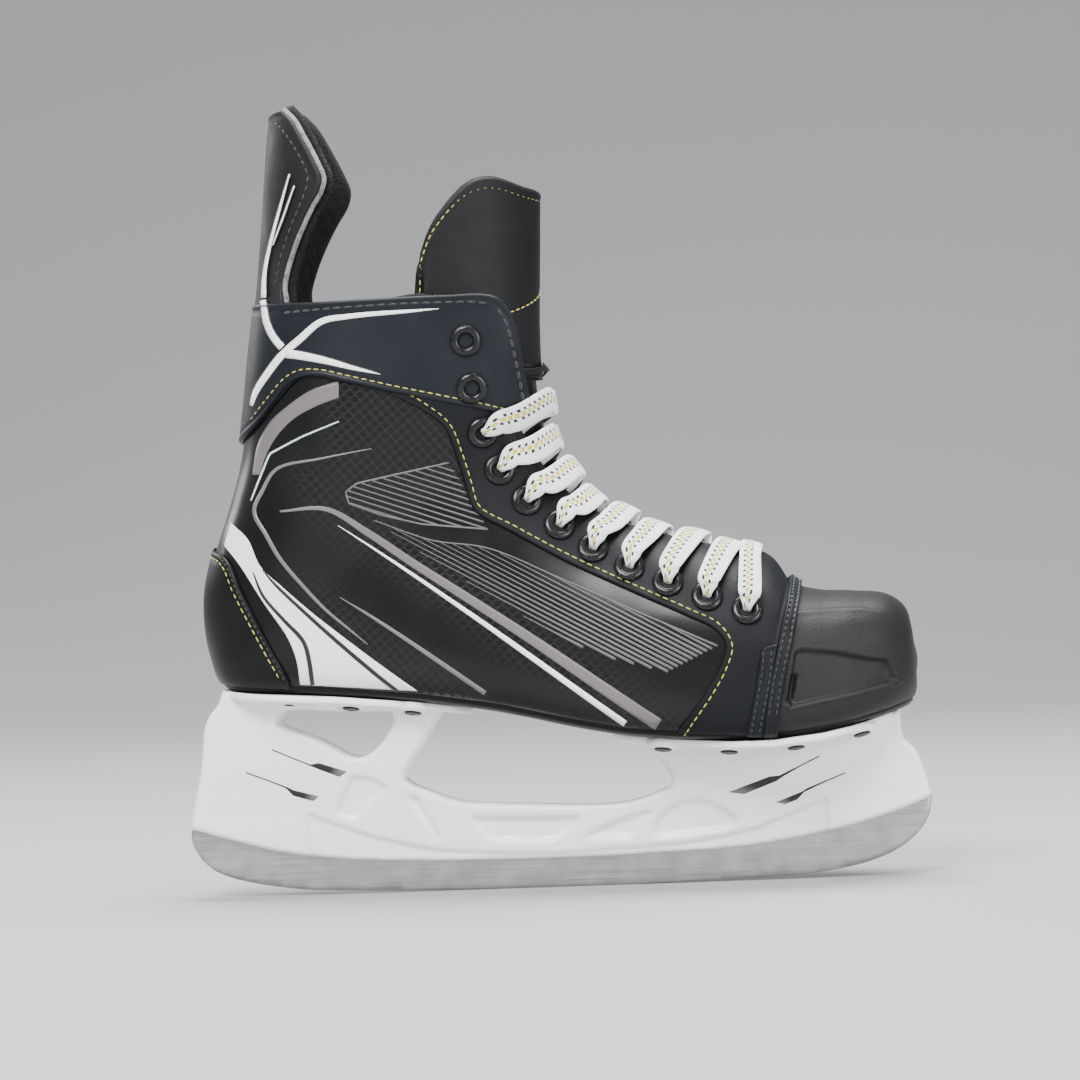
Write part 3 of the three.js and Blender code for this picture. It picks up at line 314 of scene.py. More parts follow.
def eyelet_finish():
    """Black lacquer over metal, chipped to bright specks by the lace."""
    made, node, shade = finish("eyelet_metal", (0.006, 0.006, 0.007), 0.22, specular_ior_level=0.35)
    space = place_of(node)
    chips = node("ShaderNodeTexVoronoi", {"Vector": space}, scale=1500)["Distance"]
    field = noise(node, space, 420, 3)
    mask = ramp(node, math_of(node, "MULTIPLY_ADD", field, 0.55, chips), [(0.30, 1.0), (0.40, 0.0)])
    shade("Base Color", blended(node, mask, (0.005, 0.005, 0.006), (0.30, 0.27, 0.33)))
    shade("Metallic", mask)
    shade("Roughness", ramp(node, field, [(0.3, 0.16), (0.7, 0.34)]))
    bump(node, shade, math_of(node, "MULTIPLY_ADD", mask, 0.5, field), 0.3, 0.0002)
    return made


def felt_finish(name, colour, fuzz=0.6, scale=1500):
    """Brushed felt: short tangled fibres with a pale sheen."""
    made, node, shade = finish(
        name, colour, 0.95, sheen_weight=fuzz, sheen_roughness=0.5, specular_ior_level=0.15
    )
    space = place_of(node)
    fibres = noise(node, space, scale, 8)
    clumps = noise(node, space, scale / 5, 5)
    mixed = math_of(node, "MULTIPLY_ADD", fibres, 0.6, math_of(node, "MULTIPLY", clumps, 0.4))
    tone = ramp(
        node, mixed, [(0.36, tuple(c * 0.4 for c in colour)),
            (0.66, tuple(min(c * 2.0, 1) for c in colour))]
    )
    shade("Base Color", tone)
    bump(node, shade, mixed, 1.0, 0.0012)
    return made


def lace_finish():
    """Woven white polyester with a tracer: a row of yellow dashes between rows of black squares."""
    made, node, shade = finish(
        "lace_weave", (0.92, 0.92, 0.91), 0.85, sheen_weight=0.25, specular_ior_level=0.25
    )
    along = node("ShaderNodeAttribute", settings={"attribute_name": "along"})["Fac"]
    across = node("ShaderNodeAttribute", settings={"attribute_name": "across"})["Fac"]

    def wave(source, count, phase=0.0):
        return math_of(node, "SINE", math_of(node, "MULTIPLY_ADD", source, count * 2 * math.pi, phase))

    def stripe(centre, half):
        away = math_of(node, "ABSOLUTE", math_of(node, "SUBTRACT", across, centre))
        return math_of(node, "LESS_THAN", away, half)

    pitch = 1 / 3.5
    slanted = math_of(node, "MULTIPLY_ADD", across, 4.5, along)
    dash = math_of(node, "GREATER_THAN", wave(slanted, pitch), -0.45)
    square = math_of(node, "GREATER_THAN", wave(slanted, pitch, math.pi), 0.25)
    yellow = math_of(node, "MULTIPLY", stripe(0.1, 0.085), dash)
    beside = math_of(node, "ADD", stripe(-0.055, 0.06), stripe(0.255, 0.06))
    black = math_of(node, "MULTIPLY", beside, square)
    ribs = math_of(node, "MULTIPLY", wave(along, 1.15), wave(across, 9))
    white = blended(
        node, math_of(node, "MULTIPLY_ADD", ribs, 0.5, 0.5), (0.8, 0.81, 0.82), (0.95, 0.95, 0.945)
    )
    tone = blended(node, yellow, white, (0.62, 0.52, 0.02))
    shade("Base Color", blended(node, black, tone, (0.012, 0.012, 0.012)))
    bump(node, shade, ribs, 0.55, 0.0004)
    return made


def thread_finish(name, colour):
    made, node, shade = finish(name, colour, 0.6, sheen_weight=0.3)
    twist = noise(node, place_of(node), 2600, 2)
    shade("Base Color", ramp(node, twist, [(0.3, tuple(c * 0.6 for c in colour)), (0.65, colour)]))
    bump(node, shade, twist, 0.6, 0.0003)
    return made


FINISH = {
    "film": film_finish(),
    "facing": leather("facing_leather", (0.004, 0.0046, 0.006), 0.52, 1300, 0.3),
    "cuff": leather("cuff_leather", (0.0075, 0.009, 0.0125), 0.42, 1500, 0.18),
    "counter": leather("counter_leather", (0.0045, 0.0045, 0.005), 0.36, 1500, 0.12),
    "binding": leather("binding_leather", (0.006, 0.007, 0.009), 0.44, 1200, 0.3),
    "guard": leather("guard_leather", (0.009, 0.0093, 0.01), 0.56, 1600, 0.25),
    "tongue": leather("tongue_leather", (0.0055, 0.0055, 0.0062), 0.52, 1500, 0.25),
    "cap": plastic("cap_plastic", (0.0055, 0.0055, 0.0052), 0.5, 1500, 0.75, 2.0),
    "outsole": plastic("outsole_rubber", (0.0042, 0.0038, 0.0038), 0.42, 1100, 0.35, shine=0.16),
    "lining": felt_finish("lining_felt", (0.008, 0.008, 0.009), 0.08),
    "felt": felt_finish("guard_felt", (0.007, 0.007, 0.0068), 0.08, 1200),
    "piping": felt_finish("piping_felt", (0.16, 0.16, 0.168), 0.3, 1800),
    "footbed": felt_finish("footbed_foam", (0.05, 0.052, 0.056), 0.2, 1700),
    "lace": lace_finish(),
    "aglet": gloss_plastic("aglet_plastic", (0.02, 0.02, 0.02), 0.25),
    "holder": gloss_plastic("holder_plastic", (0.95, 0.96, 0.965), 0.3),
    "steel": steel_finish(),
    "eyelet": eyelet_finish(),
    "rivet": plastic("rivet_metal", (0.005, 0.005, 0.005), 0.35, 900, 0.2, shine=0.2),
    "white": print_finish("white_print", (0.95, 0.96, 0.965), 0.3),
    "pale": print_finish("pale_print", (0.62, 0.74, 0.66), 0.3),
    "taupe": print_finish("taupe_print", (0.15, 0.134, 0.132), 0.32),
    "grey": print_finish("grey_print", (0.095, 0.092, 0.096), 0.35),
    "bars": bar_finish(),
    "ink": print_finish("black_print", (0.008, 0.008, 0.009), 0.3),
    "yellow_thread": thread_finish("yellow_thread", (0.56, 0.52, 0.06)),
    "black_thread": thread_finish("black_thread", (0.006, 0.006, 0.007)),
}

# ---------------------------------------------------------------- the last
# One row per section from the toe tip to the top of the tendon guard, in mm:
# sole x, z | instep x, z | half width | widest place | sole and instep squareness | shift inwards
LAST = np.array([
    [144.7, 80, 144.3, 92, 9, 0.5, 2.4, 2.4, 4], [144.2, 74, 142.9, 100, 20, 0.5, 3, 2.6, 4],
    [140.8, 69, 140, 107.3, 28.5, 0.48, 3.4, 2.8, 3.8], [132.5, 65.4, 132.5, 112, 35.6, 0.46, 4, 3, 3.2],
    [121, 62.4, 120, 113.6, 41, 0.44, 4.4, 3, 2.4], [107, 59.8, 107.5, 114.5, 44.5, 0.42, 5, 2.8, 1.6],
    [94, 58.3, 97, 118, 46.5, 0.4, 5, 2.6, 0.8], [79, 57.6, 88, 128, 47.5, 0.38, 5, 2.4, 0.2],
    [60, 58.3, 74, 133, 47.5, 0.37, 5, 2.4, 0], [38, 60, 56, 138, 46.5, 0.37, 5, 2.4, 0],
    [14, 64, 38.5, 144.5, 44, 0.37, 5, 2.4, 0], [-10, 69.8, 25, 151.5, 41.5, 0.38, 5, 2.4, 0],
    [-36, 74.9, 14.5, 161, 39.5, 0.4, 5, 2.5, 0], [-66, 78.7, 7, 172, 38, 0.42, 5, 2.7, 0],
    [-97, 81.5, 3, 183, 36.5, 0.44, 4.6, 3.2, 0], [-127, 84, 1, 192.5, 36, 0.44, 3.4, 3.8, 0],
    [-135.4, 98, 0, 201, 37, 0.44, 2.6, 4.6, 0], [-137.3, 119, -0.3, 209, 38.5, 0.45, 2.3, 5.4, 0],
    [-133.3, 138, -0.6, 217, 40, 0.46, 2.2, 6.2, 0], [-127.3, 155, -0.8, 225, 41, 0.47, 2.2, 7, 0],
    [-122, 172.5, -1, 233, 42, 0.48, 2.2, 7, 0], [-118.6, 192, -1.5, 241, 42.6, 0.48, 2.2, 7, 0],
    [-115.8, 213, -2, 250, 42.8, 0.48, 2.2, 7, 0], [-112.5, 236, -3, 260, 42.4, 0.48, 2.2, 7, 0],
    [-109.3, 260, -4, 272, 41.5, 0.48, 2.2, 7, 0], [-106.6, 286, -5, 290, 40.5, 0.48, 2.2, 7, 0],
    [-104.4, 306, -6, 308, 39.5, 0.48, 2.2, 7, 0], [-102, 322, -7, 324, 38.5, 0.48, 2.2, 7, 0],
])
TOP = len(LAST) - 1
SOLE_LINE = np.array([
    [-160, 85.5], [-131, 84], [-118, 82.6], [-85, 80.4], [-50, 76.8], [-20, 72], [6, 65.8], [30, 60.9],
    [52, 58.9], [72, 57.8], [88, 57.9], [107, 59.8], [121, 62.4], [132, 65.3], [150, 71],
])
PANEL = 1.6  # height of the sewn panels over the shell


def catmull(rows, at):
    """A Catmull-Rom spline through rows, at places counted in rows."""
    rows = np.asarray(rows, float)
    top = len(rows) - 1
    at = np.clip(np.asarray(at, float), 0, top)
    row = np.clip(np.floor(at).astype(int), 0, top - 1)
    t = (at - row)[..., None]
    a, b, c, d = (rows[np.clip(row + k, 0, top)] for k in (-1, 0, 1, 2))
    p, q = (c - a) / 2, (d - b) / 2
    return (((2 * b - 2 * c + p + q) * t + (-3 * b + 3 * c - 2 * p - q)) * t + p) * t + b


def last_point(s, angle):
    """Angle 0 is the sole or the heel, and plus or minus pi the instep."""
    sx, sz, ix, iz, half, widest, low, high, shift = np.moveaxis(catmull(LAST, s), -1, 0)
    along, across = np.cos(angle), np.sin(angle)
    n = np.where(along > 0, low, high)
    reach = (np.abs(along) ** n + np.abs(across) ** n) ** (-1 / n)
    share = widest - along * reach * np.where(along > 0, widest, 1 - widest)
    return np.stack([sx + (ix - sx) * share, shift + half * across * reach, sz + (iz - sz) * share], -1)


def unit(v):
    return v / np.maximum(np.linalg.norm(v, axis=-1, keepdims=True), 1e-9)


def last_normal(s, angle):
    step = 0.02
    lengthwise = last_point(np.minimum(s + step, TOP), angle) - last_point(np.maximum(s - step, 0), angle)
    around = last_point(s, angle + step) - last_point(s, angle - step)
    return unit(np.cross(lengthwise, around))


def skin(s, angle, offset=0.0):
    offset = np.asarray(offset, float)[..., None]
    return last_point(s, angle) + last_normal(s, angle) * offset


def locate(x, z):
    """Station and angle where the last's side passes through x, z in side view."""
    x, z = np.asarray(x, float), np.asarray(z, float)
    low, high = np.zeros(x.shape), np.full(x.shape, float(TOP))
    for _ in range(36):
        s = (low + high) / 2
        sx, sz, ix, iz = np.moveaxis(catmull(LAST, s), -1, 0)[:4]
        beyond = (ix - sx) * (z - sz) - (iz - sz) * (x - sx) > 0
        low, high = np.where(beyond, s, low), np.where(beyond, high, s)
    sx, sz, ix, iz, _, widest, square, square_high, _ = np.moveaxis(catmull(LAST, low), -1, 0)
    share = ((x - sx) * (ix - sx) + (z - sz) * (iz - sz)) / ((ix - sx) ** 2 + (iz - sz) ** 2)
    along = np.where(share < widest, (widest - share) / widest, (widest - share) / (1 - widest))
    n = np.where(share < widest, square, square_high)
    across = (1 - np.minimum(np.abs(along), 1) ** n) ** (1 / n)
    return low, np.arctan2(across, along)


def on_side(line, side, offset=0.0):
    """Places and outward directions on one side of the last for side-view points."""
    s, angle = locate(line[..., 0], line[..., 1])
    return skin(s, side * angle, offset), last_normal(s, side * angle)


THROAT = np.array([
    [7.15, 6], [7.4, 13], [7.8, 16], [9, 18.5], [10, 20], [11, 21], [12, 22.5], [13, 24], [14, 26],
    [15, 28.5], [16, 31], [18, 35], [20, 37], [24, 37],
])


def throat_half(s):
    return np.interp(s, THROAT[:, 0], THROAT[:, 1])


def instep_angle(s, y):
    """The angle at which the instep is a distance y from the middle."""
    s, y = np.broadcast_arrays(np.asarray(s, float), np.asarray(y, float))
    side = np.where(y < 0, -1.0, 1.0)
    low, high = np.full(s.shape, math.pi / 2), np.full(s.shape, math.pi)
    for _ in range(30):
        middle = (low + high) / 2
        wide = side * last_point(s, side * middle)[..., 1] > np.abs(y)
        low, high = np.where(wide, middle, low), np.where(wide, high, middle)
    return side * low


# ---------------------------------------------------------------- lines
def even(points, count):
    """Straight runs between the points, as count evenly spaced points."""
    points = np.asarray(points, float)
    run = np.r_[0, np.cumsum(np.linalg.norm(np.diff(points[:, :3], axis=0), axis=1))]
    at = np.linspace(0, run[-1], count)
    return np.stack([np.interp(at, run, points[:, k]) for k in range(points.shape[1])], -1)


def flowing(points, count):
    """A smooth line through the points, as count evenly spaced points."""
    p = np.asarray(points, float)
    knots = np.r_[0, np.cumsum(np.linalg.norm(np.diff(p, axis=0), axis=1) ** 0.6)]
    slopes = np.gradient(p, knots, axis=0)
    fine = np.linspace(0, knots[-1], max(count * 3, 200))
    i = np.clip(np.searchsorted(knots, fine, side="right") - 1, 0, len(p) - 2)
    h = (knots[i + 1] - knots[i])[:, None]
    t = (fine - knots[i])[:, None] / h
    curve = (2 * t**3 - 3 * t**2 + 1) * p[i] + (t**3 - 2 * t**2 + t) * h * slopes[i]
    curve += (-2 * t**3 + 3 * t**2) * p[i + 1] + (t**3 - t**2) * h * slopes[i + 1]
    return even(curve, count)


def beside(line, distance):
    """The side-view line moved sideways, to the left of the way it runs."""
    run = unit(np.gradient(line[:, :2], axis=0))
    return line[:, :2] + np.stack([-run[:, 1], run[:, 0]], -1) * np.asarray(distance, float)[..., None]


def edge(points, side, count=260, smooth=True):
    """A side-view line as (station, angle) points on one side of the last."""
    line = flowing(points, count) if smooth else even(points, count)
    s, angle = locate(line[:, 0], line[:, 1])
    return np.stack([s, side * angle], -1)


def inset_from(points, loop):
    """Distance of side-view points inside a closed outline, negative outside."""
    a, b = loop, np.roll(loop, -1, axis=0)
    flat = points.reshape(-1, 2)
    best = np.full(len(flat), 1e9)
    inside = np.zeros(len(flat), bool)
    nearest = np.zeros_like(flat)
    for (x0, z0), (x1, z1) in zip(a, b):
        run = np.array([x1 - x0, z1 - z0])
        t = np.clip(((flat - (x0, z0)) @ run) / max(run @ run, 1e-12), 0, 1)
        spot = np.array([x0, z0]) + t[:, None] * run
        away = np.linalg.norm(flat - spot, axis=1)
        closer = away < best
        best[closer], nearest[closer] = away[closer], spot[closer]
        crosses = (z0 > flat[:, 1]) != (z1 > flat[:, 1])
        inside ^= crosses & (flat[:, 0] < (x1 - x0) * (flat[:, 1] - z0) / ((z1 - z0) or 1e-12) + x0)
    signed = np.where(inside, best, -best)
    return signed.reshape(points.shape[:-1]), nearest.reshape(points.shape)


# ---------------------------------------------------------------- meshes
def add_grid(bm, places, outward=None, layers=()):
    """Adds a grid whose corners are at those places, in mm, facing outward."""
    rows, cols = places.shape[:2]
    for name in dict(layers):
        if name not in bm.verts.layers.float:
            bm.verts.layers.float.new(name)
    made = bmesh.ops.create_grid(bm, x_segments=cols - 1, y_segments=rows - 1, size=1)["verts"]
    flat = places.reshape(-1, 3) * MM
    for v, p in zip(made, flat):
        v.co = p
    for name, values in dict(layers).items():
        layer = bm.verts.layers.float[name]
        for v, value in zip(made, np.asarray(values).ravel()):
            v[layer] = value
    if outward is not None:
        mid = (rows // 2 - 1) * cols + cols // 2
        faces = list({f for v in made for f in v.link_faces})
        probe = made[mid].link_faces[0]
        probe.normal_update()
        if probe.normal.dot(Vector(outward.reshape(-1, 3)[mid])) < 0:
            bmesh.ops.reverse_faces(bm, faces=faces)
    return made


def add_tube(bm, rings, layers=()):
    """Adds a closed tube from a row of rings, whose first and last points meet, with both ends filled."""
    made = add_grid(bm, rings, layers=layers)
    bmesh.ops.remove_doubles(bm, verts=made, dist=2e-6)
    ends = {e for v in made if v.is_valid for e in v.link_edges if e.is_boundary}
    bmesh.ops.holes_fill(bm, edges=list(ends), sides=0)
    faces = list({f for v in made if v.is_valid for f in v.link_faces})
    bmesh.ops.recalc_face_normals(bm, faces=faces)


def piece(name, bm, made_of, body="boot", replaces=(), wall=0, smooth_levels=0):
    """Turns the bmesh into a piece that rides on a CAD body."""
    mesh = bpy.data.meshes.new(name)
    bm.to_mesh(mesh)
    bm.free()
    mesh.shade_smooth()
    mesh.materials.append(made_of)
    obj = bpy.data.objects.new(name, mesh)
    bpy.context.scene.collection.objects.link(obj)
    if wall:
        solid = obj.modifiers.new("wall", "SOLIDIFY")
        solid.thickness, solid.offset = wall * MM, -1
    if smooth_levels:
        surface = obj.modifiers.new("smooth", "SUBSURF")
        surface.levels = surface.render_levels = smooth_levels
    if body:
        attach(obj, body)
    if replaces:
        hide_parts(*replaces)
    return obj


RIM = np.array([0, 0.25, 0.6, 1.1, 1.8, 2.8, 4.2])


def spaced(lengths, cell):
    """Shares from 0 to 1 along lines of those lengths, closer together at both ends."""
    lengths = np.atleast_1d(lengths)[:, None]
    steps = np.minimum(RIM / lengths, RIM / RIM[-1] * 0.42)
    inner = np.linspace(0, 1, max(int(lengths.max() / cell), 2) + 1)[1:-1]
    middle = steps[:, -1:] + (1 - 2 * steps[:, -1:]) * inner
    return np.hstack([steps, middle, 1 - steps[:, ::-1]])


def run_along(places, axis):
    step = np.linalg.norm(np.diff(places, axis=axis), axis=-1)
    return np.concatenate([np.zeros_like(np.take(step, [0], axis)), np.cumsum(step, axis=axis)], axis)


def panel(edge_a, edge_b, height, cell=1.5, open_rims=(1, 1, 1, 1)):
    """Places of a sheet on the last between two (station, angle) edges.
    height(inset, places) gives how far it stands out, inset being the distance in from its open rims:
    the start and end of the edges, then edge a and edge b."""
    middle = last_point(*((edge_a + edge_b) / 2).T)
    run = np.r_[0, np.cumsum(np.linalg.norm(np.diff(middle, axis=0), axis=1))]
    at = spaced(run[-1], cell)[0] * run[-1]
    a, b = (np.stack([np.interp(at, run, e[:, k]) for k in (0, 1)], -1) for e in (edge_a, edge_b))
    coarse = a + (b - a) * np.linspace(0, 1, 24)[:, None, None]
    lengths = np.linalg.norm(np.diff(last_point(coarse[..., 0], coarse[..., 1]), axis=0), axis=2).sum(0)
    rows = spaced(np.maximum(lengths, 0.5), cell)
    spots = a[:, None] + (b - a)[:, None] * rows[..., None]
    s, angle = spots[..., 0], spots[..., 1]
    flat = last_point(s, angle)
    across, along = run_along(flat, 1), run_along(flat, 0)
    sides = [along, along[-1:] - along, across, across[:, -1:] - across]
    inset = np.min([d if is_open else np.full_like(d, 99) for d, is_open in zip(sides, open_rims)], 0)
    normal = last_normal(s, angle)
    return flat + normal * height(inset, flat)[..., None], normal, inset


def sewn(top=PANEL, under=-0.1, seam=None, puff=0.2):
    """The height of a sewn panel: a rounded edge, a groove along the seam and a slight swell beside it."""
    def height(inset, places):
        rise = np.sqrt(np.clip(1 - (1 - np.clip(inset / 1.0, 0, 1)) ** 2, 0, 1))
        out = under + (top - under) * rise
        if seam:
            out = out - 0.4 * np.exp(-(((inset - seam) / 0.55) ** 2)) + puff * np.exp(
                -(((inset - seam * 0.45) / 0.8) ** 2)
            )
        return out
    return height


# ---------------------------------------------------------------- thread and print
def add_stitches(bm, path, normals, pitch=3.3, length=2.5, width=0.62, sink=0.0):
    """Adds one thread loop after another along a line."""
    path = np.asarray(path)
    run = np.r_[0, np.cumsum(np.linalg.norm(np.diff(path, axis=0), axis=1))]
    for at in np.arange(pitch / 2, run[-1] - pitch / 3, pitch):
        spot, ahead, normal = (
            np.array([np.interp(d, run, values[:, k]) for k in range(3)])
            for d, values in ((at, path), (at + 0.5, path), (at, normals))
        )
        tangent, normal = Vector(ahead - spot).normalized(), Vector(normal).normalized()
        side = normal.cross(tangent).normalized()
        normal = tangent.cross(side)
        turn = Matrix((side * width / 2, normal * width / 2, tangent * length / 2)).transposed()
        matrix = Matrix.Translation(Vector(spot) - normal * sink).to_4x4() @ turn.to_4x4()
        bmesh.ops.create_uvsphere(
            bm, u_segments=6, v_segments=4, radius=1, matrix=Matrix.Scale(MM, 4) @ matrix
        )


def side_stitches(bm, line, side, lift, **spec):
    """Stitches along a side-view line."""
    places, normals = on_side(flowing(line, 240), side, lift)
    add_stitches(bm, places, normals, **spec)


def add_print(bm, left, right, side, lift=0.12):
    """A printed patch between two side-view lines of the same count."""
    width = np.linalg.norm(left - right, axis=1).max()
    shares = np.linspace(0, 1, max(int(width / 1.4) + 2, 3))[:, None, None]
    line = left + (right - left) * shares
    places, normals = on_side(line, side, lift)
    add_grid(bm, places, normals)


def add_stripe(bm, points, side, lift=0.12, smooth=True, wider=0.0):
    """A printed stripe along [x, z, width] points."""
    points = np.asarray(points, float)
    count = max(int(np.linalg.norm(np.diff(points[:, :2], axis=0), axis=1).sum() / 1.6), 8)
    line = flowing(points, count) if smooth else even(points, count)
    half = line[:, 2] / 2 + wider
    add_print(bm, beside(line, half), beside(line, -half), side, lift)


# ---------------------------------------------------------------- the upper
def sole_at(x):
    return np.interp(x, SOLE_LINE[:, 0], SOLE_LINE[:, 1])


def above_sole(x_from, x_to, up, count=40):
    x = np.linspace(x_from, x_to, count)
    return np.stack([x, sole_at(x) + up], -1)


FACING_BACK = [
    [-62, 206], [-57, 199], [-45.4, 192], [-36.7, 184.3], [-32.9, 173.6], [-29.8, 162.5], [-26.3, 151.4],
    [-11.8, 142], [10, 129.2], [32.6, 117.9], [55, 107.2],
]
FACING_TOE = [[55, 107.2], [66.4, 101.2], [70.2, 95], [68.2, 88], [61.9, 77.3], [50.5, 63]]
TOE_CAP_EDGE = [[86.5, 50], [88, 63], [91, 80], [94.7, 94.5], [96.5, 103], [98.2, 111], [101, 130]]
CUFF_BOTTOM = [
    [-3, 184.4], [-20, 190], [-40, 194.8], [-57.5, 199], [-75, 203.6], [-84, 205.9], [-91, 206.2],
    [-96, 204], [-103.5, 196.5], [-111, 188.5], [-121, 181],
]
COUNTER_EDGE = [
    [-134.5, 139.5], [-131, 139], [-127, 137.2], [-123.6, 133.2], [-119.7, 123.6], [-115.5, 114.9],
    [-107, 97.7], [-103.4, 90.5], [-102, 86],
]


def dimple_mask(x, z):
    """Where the film's dimples show: under the cuff and in two bands that run down to the toe."""
    turn = math.radians(-37)
    across = (x + 60) * math.sin(-turn) + (z - 150) * math.cos(turn)
    bands = np.exp(-(((across + 8) / 13) ** 2)) + 0.9 * np.exp(-(((across + 44) / 10) ** 2))
    high = np.clip((z - 150) / 14, 0, 1) * np.clip((x + 92) / 14, 0, 1)
    return np.clip(np.maximum(bands * np.clip((x + 108) / 20, 0, 1), high), 0, 1)


def build_quarters():
    for name, side in SIDES.items():
        low = edge(above_sole(-129.8, 86, 3.2), side, smooth=False)
        high = edge(
            [[-120.2, 190], [-108, 198], [-97, 207], [-84, 210], [-57, 203], [-40, 196], [-30, 187],
                [-26, 174],
             [-23, 163], [-19, 153.5], [-9, 145.5], [12, 133], [35, 121.5], [57, 111], [74, 104], [84, 92],
             [88, 78]],
            side,
        )
        high[0, 1] = low[0, 1] = 0
        places, normals, _ = panel(low, high, lambda inset, p: 0 * inset, 1.5, (0, 0, 0, 0))
        bm = bmesh.new()
        add_grid(bm, places, normals, {"dimples": dimple_mask(places[..., 0], places[..., 2])})
        piece(
            f"quarter_shell_{name}", bm, FINISH["film"], wall=2.6,
            replaces=[f"quarter_{name}"]
        )


def build_facings():
    for name, side in SIDES.items():
        t = np.linspace(0, 1, 170)
        outer = edge(FACING_BACK, side, 170)
        s = 17.4 + (7.2 - 17.4) * t
        throat = np.stack([s, instep_angle(s, side * throat_half(s))], -1)
        toe_outer = edge(FACING_TOE, side, 90)
        binding = edge(
            [[95.2, 117.2], [95, 112], [93.2, 103], [91.4, 94.5], [88.4, 80], [86.2, 61.4]], side, 90
        )
        a, b = np.vstack([outer, toe_outer[1:]]), np.vstack([throat, binding[1:]])
        places, normals, _ = panel(a, b, sewn(seam=2.7), 1.5, (0, 0, 1, 1))
        bm = bmesh.new()
        add_grid(bm, places, normals)
        piece(
            f"facing_panel_{name}", bm, FINISH["facing"], wall=3.6,
            replaces=[f"facing_{name}"]
        )


def wrapped(line, count=300, smooth=True):
    """A side-view line from the back of the heel forwards, carried round to both sides."""
    half = edge(line, 1, count, smooth)
    half[0, 1] = 0
    return np.vstack([half[::-1] * (1, -1), half[1:]])


GUARD_EDGE = [
    [-98, 236], [-98.6, 243], [-96.2, 252], [-92, 262], [-86, 273], [-81.8, 279.5],
    [-80.7, 284], [-83, 290], [-88.6, 301], [-93, 308.5], [-97, 312.6],
]


def build_cuff():
    """The ankle cuff leather; the tendon guard is its own piece, made in build_guard, and bends at its flex
    line.
    """
    bottom = wrapped(CUFF_BOTTOM[::-1])
    collar = wrapped([
        [-112.4, 237.2], [-104, 236.4], [-95, 235.8], [-84, 235.4], [-60, 235.7], [-32, 236], [-17, 235.6],
        [-12, 233.2], [-8.6, 227.8], [-6.6, 217], [-5.2, 202], [-3.4, 190], [-2.8, 185],
    ])

    def height(inset, places):
        out = sewn(top=PANEL + 0.5, seam=2.8)(inset, places)
        return out + 0.5 * np.exp(-(((places[..., 2] - 233.5) / 2.2) ** 2)) * (places[..., 0] > -96)

    places, normals, _ = panel(bottom, collar, height, 1.6, (1, 1, 1, 1))
    bm = bmesh.new()
    add_grid(bm, places, normals)
    piece("ankle_cuff_leather", bm, FINISH["cuff"], wall=1.9, replaces=["ankle_cuff"])


def build_guard():
    half = edge(GUARD_EDGE, 1, 120)
    low = 22.4
    rows = np.concatenate([np.linspace(low, half[0, 0], 14)[:-1], half[:, 0]])
    reach = np.concatenate([np.full(13, half[0, 1]), half[:, 1]])
    edge_a, edge_b = np.stack([rows, -reach], -1), np.stack([rows, reach], -1)

    def height(inset, places):
        lower = np.clip((240 - places[..., 2]) / 12, 0, 1)
        out = sewn(top=1.2, under=-0.8, seam=3.6, puff=0.3)(inset, places)
        rib = 0.55 * np.exp(-((places[..., 1] / 5) ** 2)) * np.clip((places[..., 2] - 238) / 20, 0, 1)
        return out + rib - 0.4 * lower + 0.9 * lower

    places, normals, _ = panel(edge_a, edge_b, height, 1.6, (0, 1, 1, 1))
    bm = bmesh.new()
    add_grid(bm, places, normals)
    guard = piece(
        "tendon_guard_leather", bm, FINISH["guard"], None, ["tendon_guard"], wall=2.6
    )
    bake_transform(guard, "boot", "guard", start=(-0.11, 0, 0.2364), end=(-0.11, 0, 0.258))

    def pad(inset, places):
        swell = 1.6 * np.sqrt(np.clip(inset / 7, 0, 1))
        return -2.2 - swell

    inner_a, inner_b = (e.copy() for e in (edge_a, edge_b))
    places, normals, _ = panel(inner_a, inner_b, pad, 1.8, (0, 1, 1, 1))
    bm = bmesh.new()
    add_grid(bm, places, normals)
    felt = piece(
        "tendon_guard_lining", bm, FINISH["felt"], None, ["tendon_guard_felt"], wall=3.2
    )
    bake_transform(felt, "boot", "guard", start=(-0.11, 0, 0.2364), end=(-0.11, 0, 0.258))

    loop = np.vstack([edge_a[13:], edge_b[13:][::-1]])
    path = flowing(skin(loop[:, 0], loop[:, 1], -0.9), 300)
    bm = bmesh.new()
    add_cord(bm, path, 1.15)
    piping = piece("tendon_guard_piping", bm, FINISH["piping"], None)
    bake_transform(piping, "boot", "guard", start=(-0.11, 0, 0.2364), end=(-0.11, 0, 0.258))


def add_cord(bm, path, radius):
    """A round cord along a line."""
    run = unit(np.gradient(path, axis=0))
    aside = unit(np.cross(run, (0.13, 0.21, 0.97)))
    up = np.cross(run, aside)
    turn = np.linspace(0, 2 * math.pi, 11)
    turn[-1] = 0
    ring = np.cos(turn)[:, None] * aside[:, None] + np.sin(turn)[:, None] * up[:, None]
    add_tube(bm, path[:, None] + ring * radius)


def build_counter():
    top = wrapped(COUNTER_EDGE)
    low = wrapped(above_sole(-131.5, -102, 3.4), smooth=False)
    places, normals, _ = panel(low, top, sewn(seam=3.0), 1.5, (1, 1, 0, 1))
    bm = bmesh.new()
    add_grid(bm, places, normals)
    piece(
        "heel_counter_leather", bm, FINISH["counter"], wall=1.5,
        replaces=["heel_counter"]
    )


